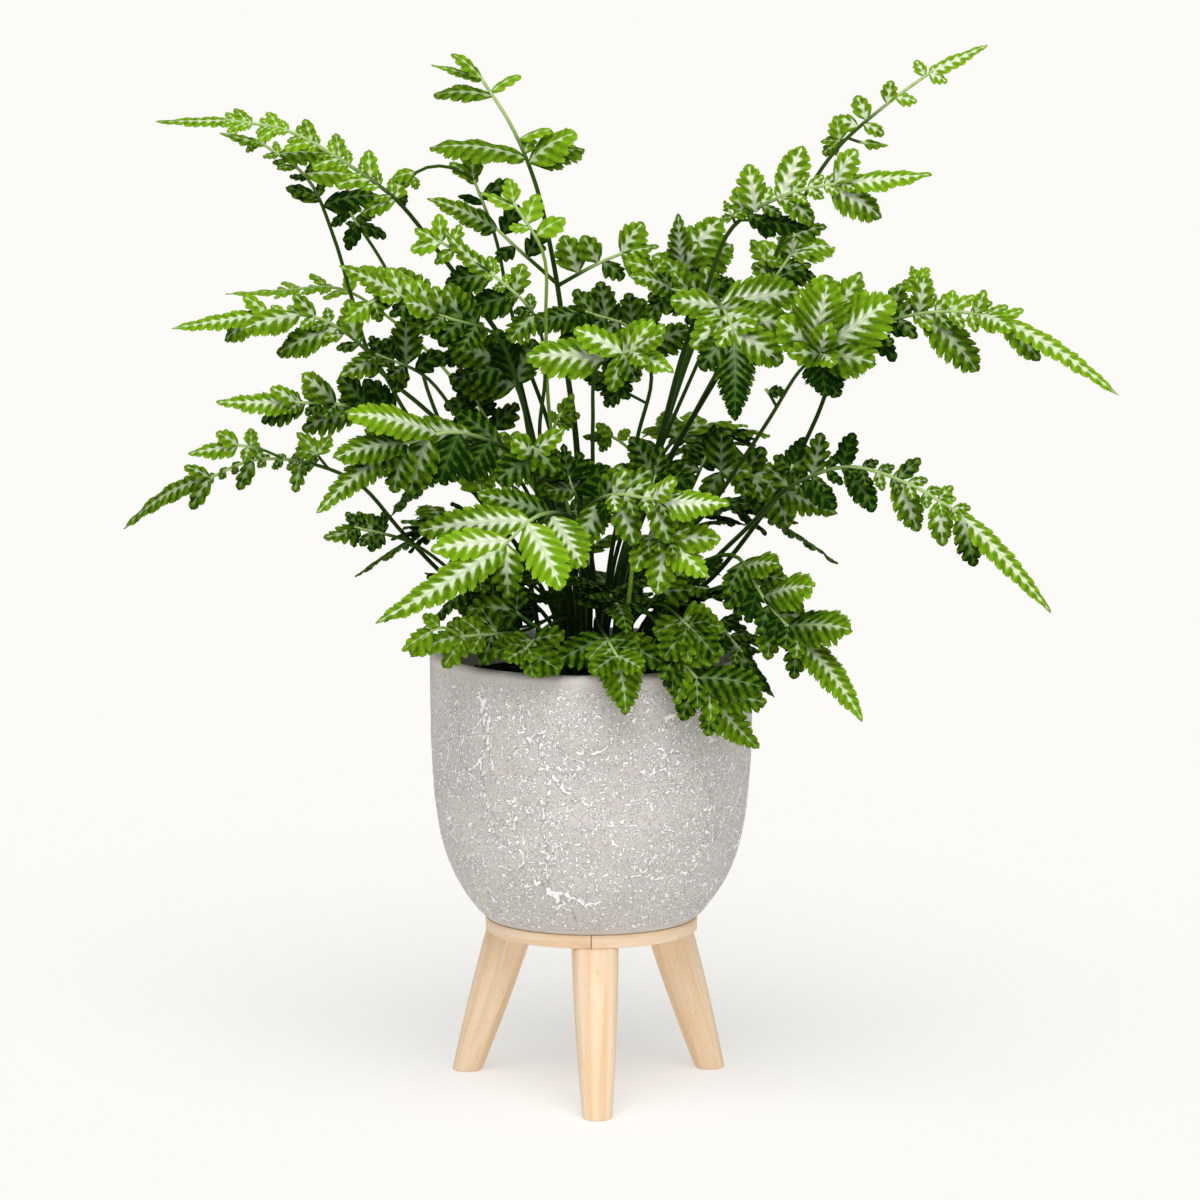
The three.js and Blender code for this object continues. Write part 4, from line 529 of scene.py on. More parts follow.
def seen(x: float, z: float, depth: float) -> np.ndarray:
    """Place a point that shows at x, z in the mid plane at a depth along its line of sight.

    Args:
        x: place to the viewer's right in the mid plane.
        z: height in the mid plane.
        depth: how far behind the mid plane the point lies.

    Returns:
        The point, in millimetres.
    """
    scale = 1 + depth / EYE_DISTANCE
    return np.array([EYE_X + (x - EYE_X) * scale, depth, EYE_Z + (z - EYE_Z) * scale])


def unit(vector: np.ndarray) -> np.ndarray:
    """Return the vector at length 1."""
    return vector / np.linalg.norm(vector)


def turned(vector: np.ndarray, axis: np.ndarray, degrees: float) -> np.ndarray:
    """Return the vector turned about a unit axis."""
    angle = math.radians(degrees)
    turn = vector * math.cos(angle) + np.cross(axis, vector) * math.sin(angle)
    return turn + axis * float(axis @ vector) * (1 - math.cos(angle))


def smooth_course(points: np.ndarray, steps: int) -> np.ndarray:
    """Draw a centripetal Catmull-Rom curve through points.

    Args:
        points: the points that the curve passes.
        steps: how many steps it takes between two of them.

    Returns:
        The points of the curve, both ends included.
    """
    last = len(points) - 1
    out = []
    for k in range(steps * last + 1):
        place = last * (k / (steps * last))
        i = min(int(place), last - 1)
        w = place - i
        p1, p2 = points[i], points[i + 1]
        p0 = points[i - 1] if i else 2 * p1 - p2
        p3 = points[i + 2] if i + 2 <= last else 2 * p2 - p1
        d0, d1, d2 = (float((b - a) @ (b - a)) ** 0.25 for a, b in ((p0, p1), (p1, p2), (p2, p3)))
        t1 = ((p1 - p0) / d0 - (p2 - p0) / (d0 + d1) + (p2 - p1) / d1) * d1
        t2 = ((p2 - p1) / d1 - (p3 - p1) / (d1 + d2) + (p3 - p2) / d2) * d1
        out.append(p1 + t1 * w + (-3 * p1 + 3 * p2 - 2 * t1 - t2) * w ** 2
                   + (2 * p1 - 2 * p2 + t1 + t2) * w ** 3)
    return np.array(out)


class Trail:
    """Points along a polyline by distance; LOOK is how far either way its direction is taken."""

    LOOK = 2.0

    def __init__(self, points: np.ndarray) -> None:
        """Measure the polyline.

        Args:
            points: its corners, one a row.
        """
        self.points = np.asarray(points, float)
        runs = np.linalg.norm(np.diff(self.points, axis=0), axis=1)
        self.reach = np.concatenate(([0.0], np.cumsum(runs)))
        self.length = float(self.reach[-1])

    def at(self, distance: float) -> np.ndarray:
        """Return the point at a distance from the start."""
        i = int(np.clip(np.searchsorted(self.reach, distance, "left"), 1, len(self.points) - 1))
        share = (distance - self.reach[i - 1]) / (self.reach[i] - self.reach[i - 1])
        return self.points[i - 1] + (self.points[i] - self.points[i - 1]) * min(1, max(0, share))

    def direction_at(self, distance: float) -> np.ndarray:
        """Return the direction of travel at a distance from the start."""
        ahead = self.at(min(self.length, distance + self.LOOK))
        return unit(ahead - self.at(max(0, distance - self.LOOK)))

    def pair_at(self, distance: float, normal: np.ndarray, forward: float,
                sideways: float) -> list[tuple[np.ndarray, np.ndarray]]:
        """Return the ends of two leaflets that leave the trail on either side.

        Args:
            distance: where they leave it.
            normal: the direction that they face.
            forward: how far along the trail each reaches.
            sideways: how far away from it each reaches.

        Returns:
            Where each starts and where it ends.
        """
        start, along = self.at(distance), self.direction_at(distance)
        across = unit(np.cross(normal, along))
        return [(start, start + along * forward + across * (side * sideways)) for side in (-1, 1)]


class Form(Enum):
    """What a blade is, with the numbers that shape its outline."""

    LEAFLET = (0.74, 1.04, 0.56)
    LOBE = (0.56, 0.64, 0.7)

    def __init__(self, solid_peak: float, dressed_peak: float, dressed_ends: float) -> None:
        """Name the numbers.

        Args:
            solid_peak: sets where the solid's blade is widest.
            dressed_peak: sets where the dressed blade is widest.
            dressed_ends: sets how blunt the dressed blade's ends are.
        """
        self.solid_peak = solid_peak
        self.dressed_peak = dressed_peak
        self.dressed_ends = dressed_ends


def width_share(share: np.ndarray, peak: float, ends: float = 0.75) -> np.ndarray:
    """Return a blade's half width along its length, as a share of its greatest."""
    return np.maximum(0, np.sin(math.pi * np.clip(share, 0, 1) ** peak)) ** ends


@dataclass
class Blade:
    """One leaflet or end lobe, on an arched midrib from base past bend to tip.

    full widens the dressed blade and trim shortens it.
    """

    KEEL = (0.16, 0.012)

    base: np.ndarray
    bend: np.ndarray
    tip: np.ndarray
    face: np.ndarray
    half: float
    form: Form
    full: float = 1.0
    trim: float = 1.0

    def __post_init__(self) -> None:
        """Find the blade's own directions and its length."""
        reach = self.tip - self.base
        self.length = float(np.linalg.norm(reach))
        self.along = reach / self.length
        self.across = unit(np.cross(self.face, self.along))
        self.up = np.cross(self.along, self.across)

    def midrib(self, share: np.ndarray) -> np.ndarray:
        """Return the points of the midrib at shares of its length."""
        t = share[:, None]
        return self.base * (1 - t) ** 2 + self.bend * 2 * t * (1 - t) + self.tip * t ** 2

    def surface(self, share: np.ndarray, out: np.ndarray, lift: np.ndarray) -> np.ndarray:
        """Return points of the blade.

        Args:
            share: where each point stands along the midrib, from 0 to 1.
            out: how far out from the midrib, to either side.
            lift: how far above the blade's keeled middle surface.

        Returns:
            One point a row, in millimetres.
        """
        height = lift - self.KEEL[0] * np.abs(out) - self.KEEL[1] * out ** 2
        return self.midrib(share) + self.across * out[:, None] + self.up * height[:, None]

    def samples(self) -> np.ndarray:
        """Return points over the blade, to tell whether it has room."""
        rows = max(3, math.ceil(self.length / SAMPLE_STEP))
        shares, outs = [], []
        for i in range(1, rows + 1):
            half = self.half * float(width_share(np.array(i / rows), self.form.solid_peak))
            columns = max(1, math.ceil(half / SAMPLE_STEP))
            for j in range(-columns, columns + 1):
                shares.append(i / rows)
                outs.append(half * j / columns)
        return self.surface(np.array(shares), np.array(outs), np.zeros(len(outs)))


class Thicket:
    """Points of everything that has grown, to tell where there is room."""

    CELL = 4.0
    LIGHT_CONE = 0.5
    TOWARD_LIGHT = np.array([0.0, -0.5, 0.866])
    SHADE_NEAR, SHADE_FAR = 12.0, 90.0
    SHADE_EVERY = 3
    MOST = 400000

    def __init__(self) -> None:
        """Make room for the most points that it will hold."""
        self.points = np.empty((self.MOST, 3))
        self.radius = np.empty(self.MOST)
        self.owner = np.empty(self.MOST, int)
        self.count = 0

    def add(self, points: np.ndarray, radius: float, owner: int) -> None:
        """Add the points of one piece.

        Args:
            points: one point a row.
            radius: how thick the piece is round them.
            owner: the frond that they belong to.
        """
        span = slice(self.count, self.count + len(points))
        self.points[span], self.radius[span], self.owner[span] = points, radius, owner
        self.count += len(points)

    def is_clear(self, points: np.ndarray, owner: int, base: np.ndarray, room: float,
                 own_room: float) -> bool:
        """Tell whether every point keeps its distance from what has grown.

        Args:
            points: the points of the new blade.
            owner: its frond.
            base: where it leaves its stalk; the frond's own points near there don't count.
            room: the distance kept from other fronds.
            own_room: the distance kept from its own frond.

        Returns:
            True where there is room.
        """
        reach = 2 * self.CELL
        held = self.points[:self.count]
        low, high = points.min(0) - reach, points.max(0) + reach
        near = np.flatnonzero(np.all((held > low) & (held < high), axis=1))
        own = self.owner[near] == owner
        keep = ~(own & (np.linalg.norm(held[near] - base, axis=1) < LEAF_ROOT))
        near, own = near[keep], own[keep]
        if not len(near):
            return True
        gap = np.linalg.norm(points[:, None] - held[near][None], axis=2)
        cells = np.floor(points / self.CELL)[:, None] - np.floor(held[near] / self.CELL)[None]
        need = np.where(own, own_room, room) + self.radius[near]
        return not bool(np.any((gap < need) & np.all(np.abs(cells) <= 1, axis=2)))

    def foliage_shade(self, point: np.ndarray) -> float:
        """Tell how much of a point's light the foliage over and before it takes, which is painted on the
        blades as shade.

        Args:
            point: the point.

        Returns:
            A value from 0, open, to 1, deep inside.
        """
        gap = self.points[:self.count:self.SHADE_EVERY] - point
        distance = np.maximum(np.linalg.norm(gap, axis=1), 1.0)
        ahead = gap @ self.TOWARD_LIGHT > self.LIGHT_CONE * distance
        near = ahead & (distance > self.SHADE_NEAR) & (distance < self.SHADE_FAR)
        covered = self.SHADE_EVERY * SAMPLE_STEP ** 2 * float((distance[near] ** -2).sum())
        return min(1.0, covered / (2 * math.pi * (1 - self.LIGHT_CONE)))


def clear_of_pot(points: np.ndarray) -> bool:
    """Tell whether points are off the pot and the soil."""
    out = np.hypot(points[:, 0], points[:, 1])
    height = points[:, 2]
    outside = (height > RIM_HEIGHT + POT_CLEARANCE) | (out > POT_RADIUS + POT_CLEARANCE)
    inside = (out < POT_RADIUS - POT_WALL - POT_CLEARANCE) & (height > SOIL_TOP + POT_CLEARANCE)
    return bool(np.all(outside | inside))


@dataclass
class Frond:
    """A frond as it grows: its smooth course, its stalk's corners and its blades."""

    plan: Plan
    points: np.ndarray
    owner: int = 0
    root: Optional[np.ndarray] = None
    stalk: np.ndarray = field(init=False)
    neck_share: float = field(init=False)
    lobe_tip: np.ndarray = field(init=False)
    lobe_middle: np.ndarray = field(init=False)
    blades: list[Blade] = field(default_factory=list)

    @property
    def normal(self) -> np.ndarray:
        """Return the direction that the upper faces look in."""
        tilt = math.radians(self.plan.face)
        return np.array([0, -math.sin(tilt), math.cos(tilt)])

    def girth_at(self, share: float) -> float:
        """Return the stalk's radius at a share of its length."""
        return self.plan.girth + (STALK_TIP_GIRTH - self.plan.girth) * share

    def lay(self) -> None:
        """Lay the smooth course, and a stalk of straight runs along it up to the end lobe."""
        rooted = self.root is not None
        start = [np.array([*self.root, SOIL_TOP + STALK_RISE])] if rooted else []
        fine = Trail(smooth_course(np.array([*start, *self.points]), FINE_STEPS))
        neck = float(fine.reach[FINE_STEPS * (self.plan.neck + rooted)])
        end = neck + (fine.length - neck) * self.plan.end
        runs = max(3, math.floor(end / STALK_STEP + 0.5))
        foot = [np.array([*self.root, SOIL_TOP - HOLE_DEPTH + FIT_GAP])] if rooted else []
        self.stalk = np.array([*foot, *(fine.at(end * i / runs) for i in range(runs + 1))])
        self.neck_share = neck / end
        self.lobe_tip = fine.at(fine.length) - fine.at(end)
        self.lobe_middle = fine.at((fine.length + end) / 2) - fine.at(end)

    def smooth_stalk(self) -> Trail:
        """Return a smooth course through the stalk's corners."""
        return Trail(smooth_course(self.stalk, FINE_STEPS))

    def rachis(self) -> tuple[Trail, float]:
        """Return the stalk above the soil and how far along it the leaflets start."""
        trail = Trail(self.stalk[1:] if self.root is not None else self.stalk)
        return trail, trail.length * self.neck_share


def hidden_frond(name: str, degrees: float, reach: float, height: float, lobe: float,
                 pairs: int) -> Frond:
    """Set out a frond that rises, arches over and nods.

    Args:
        name: the node that it stands for.
        degrees: its direction, 0 at +X and 90 at the back.
        reach: how far out its tip is.
        height: its greatest height.
        lobe: half the width of its end lobe.
        pairs: how many pairs of large leaflets it has.

    Returns:
        The frond, with its points laid.
    """
    angle = math.radians(degrees)
    rise = height - SOIL_TOP
    course = ((0.16, SOIL_TOP + rise * 0.45), (0.3, SOIL_TOP + rise * 0.8), (0.42, height - 3),
              (0.58, height), (0.8, height - rise * 0.14), (1, height - rise * 0.4))
    points = [(math.cos(angle) * reach * share, math.sin(angle) * reach * share, z)
              for share, z in course]
    return Frond(Plan(name, lobe=lobe, pairs=pairs, silver=0.5, more=4), np.array(points))


def spread_roots(fronds: list[Frond], gather: float = 0.62, rounds: int = 200,
                 nudge: float = 0.01) -> None:
    """Spread the roots in the crown until none is nearer another than the spacing.

    Args:
        fronds: every frond; one that grows on another has no root.
        gather: a root's first distance from the axis to that of its stalk above it.
        rounds: how often the roots push each other.
        nudge: keeps two roots at one spot from staying there.
    """
    rooted = [frond for frond in fronds if not frond.plan.on]
    spots = [[float(value) * gather for value in frond.points[0][:2]] for frond in rooted]
    for _ in range(rounds):
        for i, a in enumerate(spots):
            for b in spots[i + 1:]:
                apart = max(math.hypot(b[0] - a[0], b[1] - a[1]), nudge)
                push = (ROOT_SPACING - apart) / 2 / apart
                if push > 0:
                    move_x, move_y = (b[0] - a[0]) * push, (b[1] - a[1] + nudge) * push
                    a[0], a[1] = a[0] - move_x, a[1] - move_y
                    b[0], b[1] = b[0] + move_x, b[1] + move_y
        for spot in spots:
            out = math.hypot(*spot)
            if out > CROWN_RADIUS:
                spot[0], spot[1] = spot[0] * CROWN_RADIUS / out, spot[1] * CROWN_RADIUS / out
    for frond, spot in zip(rooted, spots):
        frond.root = np.array(spot)


def nearest_on_runs(a0: np.ndarray, a1: np.ndarray, b0: np.ndarray,
                    b1: np.ndarray) -> tuple[np.ndarray, np.ndarray, np.ndarray]:
    """Find the nearest points of pairs of straight runs.

    Args:
        a0: where each first run starts.
        a1: where it ends.
        b0: where each second run starts.
        b1: where it ends.

    Returns:
        How far along each first run, how far along each second, and the gap between them.
    """
    u, v, w = a1 - a0, b1 - b0, a0 - b0
    a, b, c, d, e = ((p * q).sum(1) for p, q in ((u, u), (u, v), (v, v), (u, w), (v, w)))
    cross = a * c - b * b
    askew = cross > 1e-9
    s = np.where(askew, np.clip((b * e - c * d) / np.where(askew, cross, 1), 0, 1), 0.5)
    t = np.clip((b * s + e) / c, 0, 1)
    s = np.clip((b * t - d) / a, 0, 1)
    return s, t, a0 + u * s[:, None] - b0 - v * t[:, None]


def bend_stalks_clear(fronds: list[Frond], rounds: int = 120, pace: float = 0.3) -> None:
    """Bend stalks clear of each other, in depth only, so each keeps its place from the front.

    Args:
        fronds: the fronds whose stalks are bent.
        rounds: how often the stalks push each other.
        pace: the share of a missing gap that one push makes up.
    """
    sizes = [len(frond.stalk) for frond in fronds]
    starts = np.concatenate(([0], np.cumsum(sizes)))
    points = np.concatenate([frond.stalk for frond in fronds])
    head = np.concatenate([np.arange(starts[k], starts[k + 1] - 1) for k in range(len(fronds))])
    owner = np.repeat(np.arange(len(fronds)), [size - 1 for size in sizes])
    girth = np.array([frond.girth_at(i / size) for frond, size in zip(fronds, sizes)
                      for i in range(1, size)])
    names = [frond.plan.name for frond in fronds]
    joined = np.eye(len(fronds), dtype=bool)
    for k, frond in enumerate(fronds):
        if frond.plan.on:
            joined[k, names.index(frond.plan.on)] = joined[names.index(frond.plan.on), k] = True
    first, second = np.triu_indices(len(head), 1)
    apart = ~joined[owner[first], owner[second]]
    first, second = first[apart], second[apart]
    need = girth[first] + girth[second] + STALK_CLEARANCE
    free = np.ones(len(points), bool)
    for k, frond in enumerate(fronds):
        free[starts[k]:starts[k] + (1 if frond.plan.on else 2)] = False
    for _ in range(rounds):
        low = np.minimum(points[head], points[head + 1])
        high = np.maximum(points[head], points[head + 1])
        near = np.ones(len(first), bool)
        for axis in (0, 2):
            near &= low[first, axis] <= high[second, axis] + need
            near &= low[second, axis] <= high[first, axis] + need
        m, n, want = head[first[near]], head[second[near]], need[near]
        s, t, gap = nearest_on_runs(points[m], points[m + 1], points[n], points[n + 1])
        distance = np.linalg.norm(gap, axis=1)
        push = np.where(distance < want, (want - distance) * pace, 0)
        push = push * np.where(gap[:, 1] >= 0, 1, -1)
        moves = np.zeros(len(points))
        for index, amount in ((m, push * (1 - s)), (m + 1, push * s), (n, -push * (1 - t)),
                              (n + 1, -push * t)):
            np.add.at(moves, index, amount)
        moves[~free] = 0
        scale = (EYE_DISTANCE + points[:, 1] + moves) / (EYE_DISTANCE + points[:, 1])
        points[:, 0] = EYE_X + (points[:, 0] - EYE_X) * scale
        points[:, 2] = EYE_Z + (points[:, 2] - EYE_Z) * scale
        points[:, 1] += moves
    for k, frond in enumerate(fronds):
        frond.stalk = points[starts[k]:starts[k + 1]].copy()


# Ways to hold a leaflet, tried in turn until it has room: swing, lift, share of its length
TRIES = ((0, 0, 1), (0, 12, 1), (0, -12, 1), (10, 0, 1), (-10, 0, 1), (0, 24, 1), (0, -24, 1),
         (14, 20, 0.9), (-14, -20, 0.9), (0, 0, 0.75), (0, 20, 0.75), (0, -20, 0.75), (0, 36, 0.8),
         (0, -36, 0.8), (0, 0, 0.55), (0, 25, 0.55), (0, -25, 0.55))


def limited(value: float, limits: Row) -> float:
    """Return a value kept between a least and a greatest one."""
    return max(limits[0], min(limits[1], value))


def falling(row: Row, share: float) -> float:
    """Return a value at a share of the way, from its first value and how much it loses."""
    return row[0] - row[1] * share


@dataclass
class Fern:
    """The whole plant: sets out, bends clear and grows every frond.

    late_room, fill_room and their own_room are the distances that the late leaflets and those in
    the gaps keep, and late_depths is how far a late one may be moved. The rows named sizes and
    angles hold a value at the foot of the rachis and how much less it is at the tip, and those
    named halves the least and the greatest half width.
    """

    late_room: float = 0.9
    late_own_room: float = -1.0
    late_depths: Row = (0.0, -9.0, 9.0, -18.0, 18.0)
    stalk_room: float = 0.6
    leaf_halves: Row = (2.8, 11.0)
    leaf_gain: float = 1.15
    lobe_overlap: float = 1.5
    pair_angles: Row = (58.0, 16.0)
    more_foot: float = 0.55
    more_sizes: Row = (0.85, 0.3)
    more_spread: Row = (0.55, 0.83)
    fill_room: float = 1.6
    fill_own_room: float = 0.9
    fill_step: float = 9.0
    fill_sizes: Row = (0.95, 0.3)
    fill_angles: Row = (52.0, 12.0)
    fill_halves: Row = (2.6, 9.0)
    fill_gain: float = 1.1
    fronds: list[Frond] = field(default_factory=list)
    thicket: Thicket = field(default_factory=Thicket)
    waiting: list[tuple] = field(default_factory=list)

    def grow(self) -> None:
        """Lay the stalks, then the leaflets, then smaller leaflets that fill the gaps."""
        self.fronds = [Frond(plan, np.array([seen(*spot) for spot in plan.path])) for plan in PLANS]
        self.fronds += [hidden_frond(*row) for row in HIDDEN_PLANS]
        spread_roots(self.fronds)
        for frond in self.fronds:
            frond.lay()
        bend_stalks_clear(self.fronds)
        names = [frond.plan.name for frond in self.fronds]
        for frond in self.fronds:
            frond.owner = names.index(frond.plan.on or frond.plan.name)
            trail = Trail(frond.stalk)
            count = math.ceil(trail.length / SAMPLE_STEP)
            for i in range(count + 1):
                point = trail.at(trail.length * i / count)[None]
                radius = frond.girth_at(i / count) * self.stalk_room
                self.thicket.add(point, radius, frond.owner)
        for frond in self.fronds:
            self.grow_leaves(frond)
        for plan in SPRIGS:
            self.grow_sprig(plan, self.fronds[names.index(plan.on)])
        for frond in self.fronds:
            self.grow_more(frond)
        lost = sum(not self.grow_late(*request) for request in self.waiting)
        logging.info("%d leaflets found no room", lost)
        for frond in self.fronds:
            self.fill_gaps(frond)

    def grow_sprig(self, plan: Plan, parent: Frond) -> None:
        """Lay a small side branch from its parent's stalk, with leaflets that wait for room.

        Args:
            plan: the branch; its depths count from the stalk.
            parent: the frond that it grows from.
        """
        x, z, _ = plan.path[0]
        trail = parent.smooth_stalk()
        scale = 1 + trail.points[:, 1] / EYE_DISTANCE
        shown = np.stack((EYE_X + (trail.points[:, 0] - EYE_X) / scale,
                          EYE_Z + (trail.points[:, 2] - EYE_Z) / scale), axis=1)
        anchor = trail.points[int(np.argmin(np.linalg.norm(shown - (x, z), axis=1)))]
        path = [seen(spot[0], spot[1], float(anchor[1]) + spot[2]) for spot in plan.path[1:]]
        frond = Frond(plan, np.array([anchor, *path]), parent.owner)
        frond.lay()
        self.thicket.add(frond.stalk, plan.girth * self.stalk_room, frond.owner)
        self.fronds.append(frond)
        self.grow_leaves(frond, True)

    def grow_late(self, frond: Frond, base: np.ndarray, tip: np.ndarray, *shape: object) -> bool:
        """Grow a blade that had no room, nearer or farther along its line of sight if need be.

        Args:
            frond: the frond that it belongs to.
            base: where it leaves the rachis.
            tip: where it points.
            shape: its half width, form and dressed size.

        Returns:
            True where it found room.
        """
        eye = np.array([EYE_X, -EYE_DISTANCE, EYE_Z])
        for tries in (TRIES[:3], TRIES[3:9], TRIES[9:]):
            for deeper in self.late_depths:
                moved = tip + (tip - eye) * (deeper / EYE_DISTANCE)
                if self.grow_blade(frond, base, moved, *shape, self.late_room,
                                   self.late_own_room, tries):
                    return True
        return False

    def grow_blade(self, frond: Frond, base: np.ndarray, tip: np.ndarray, half: float, form: Form,
                   full: float = 1.0, trim: float = 1.0, room: float = LEAF_CLEARANCE,
                   own_room: float = OWN_CLEARANCE, tries: tuple[Row, ...] = TRIES) -> bool:
        """Grow one blade, held in the first way that has room.

        Args:
            frond: the frond that it belongs to.
            base: where it leaves the rachis.
            tip: where it points.
            half: half its greatest width.
            form: what the blade is.
            full: the dressed blade's width to the solid's.
            trim: the dressed blade's length to the solid's.
            room: the distance kept from other fronds.
            own_room: the distance kept from its own frond.
            tries: the ways to hold it.

        Returns:
            True where it found room.
        """
        reach = tip - base
        across = unit(np.cross(frond.normal, reach))
        up = unit(np.cross(reach, across))
        for swing, lift, share in tries:
            turn = turned(turned(reach, up, swing), across, -lift) * share
            bend = base + turn * 0.5 + up * (LEAF_ARCH * 2 * float(np.linalg.norm(turn)))
            blade = Blade(base, bend, base + turn, frond.normal, half * share, form, full, trim)
            samples = blade.samples()
            if clear_of_pot(samples) and self.thicket.is_clear(samples, frond.owner, base, room,
                                                               own_room):
                self.thicket.add(samples, 0, frond.owner)
                frond.blades.append(blade)
                return True
        return False

    def grow_leaves(self, frond: Frond, late: bool = False) -> None:
        """Grow a frond's end lobe and leaflets where there is room.

        Args:
            frond: the frond.
            late: whether they all wait until the others have grown.
        """
        plan = frond.plan
        trail, neck = frond.rachis()
        rachis = trail.length - neck

        def grow(*request: object) -> None:
            """Grow a blade now, or have it wait."""
            if late or not self.grow_blade(frond, *request):
                self.waiting.append((frond, *request))

        def leaflet(share: float, end: np.ndarray, full: float = plan.full,
                    trim: float = 1.0) -> None:
            """Grow a leaflet.

            Args:
                share: where on the rachis it starts.
                end: where it points.
                full: the dressed blade's width to the solid's.
                trim: the dressed blade's length to the solid's.
            """
            start = trail.at(neck + rachis * share)
            span = float(np.linalg.norm(end - start))
            half = limited(span * plan.wide * self.leaf_gain, self.leaf_halves)
            grow(start, end, half, Form.LEAFLET, full, trim)

        grow(trail.at(trail.length - self.lobe_overlap), trail.at(trail.length) + frond.lobe_tip,
             plan.lobe, Form.LOBE, plan.tip, 1.0)
        for share, x, z, deeper, *dressed in plan.leaves:
            depth = float(trail.at(neck + rachis * share)[1]) + deeper
            leaflet(share, seen(x, z, depth), *dressed)
        for i in range(plan.pairs):
            share = (i + 0.15) / (plan.pairs - 0.2)
            span = plan.long + (plan.short - plan.long) * share
            angle = math.radians(falling(self.pair_angles, share))
            for _, end in trail.pair_at(neck + rachis * share, frond.normal,
                                        span * math.cos(angle), span * math.sin(angle)):
                leaflet(share, end)

    def grow_more(self, frond: Frond) -> None:
        """Have the pairs of leaflets wait that only the dressed frond has."""
        plan = frond.plan
        trail, neck = frond.rachis()
        foot = neck * self.more_foot
        for i in range(plan.more):
            share = (i + 0.5) / plan.more
            place = foot + (trail.length - foot) * share
            span = plan.long * falling(self.more_sizes, share)
            forward, sideways = (span * part for part in self.more_spread)
            for start, end in trail.pair_at(place, frond.normal, forward, sideways):
                self.waiting.append((frond, start, end, span * plan.wide, Form.LEAFLET, plan.full,
                                     1.0))

    def fill_gaps(self, frond: Frond) -> None:
        """Grow smaller leaflets along a rachis, where the larger ones leave room."""
        plan = frond.plan
        trail, neck = frond.rachis()
        rachis = trail.length - neck
        lengths = [blade.length for blade in frond.blades if blade.form is Form.LEAFLET]
        if not lengths or rachis < self.fill_step or not plan.fill:
            return
        typical = float(np.mean(lengths))
        count = int(rachis / self.fill_step)
        for i in range(count + 1):
            share = (i + 0.5) / (count + 1)
            span = typical * plan.fill * falling(self.fill_sizes, share)
            angle = math.radians(falling(self.fill_angles, share))
            half = limited(span * plan.wide * self.fill_gain, self.fill_halves)
            for start, end in trail.pair_at(neck + rachis * share, frond.normal,
                                            span * math.cos(angle), span * math.sin(angle)):
                self.grow_blade(frond, start, end, half, Form.LEAFLET, plan.full, 1.0,
                                self.fill_room, self.fill_own_room)


def linear(code: str) -> tuple[float, float, float, float]:
    """Return a six-digit sRGB colour code as a linear colour."""
    parts = [int(code[i:i + 2], 16) / 255 for i in (0, 2, 4)]
    return (*(p / 12.92 if p <= 0.04045 else ((p + 0.055) / 1.055) ** 2.4 for p in parts), 1.0)


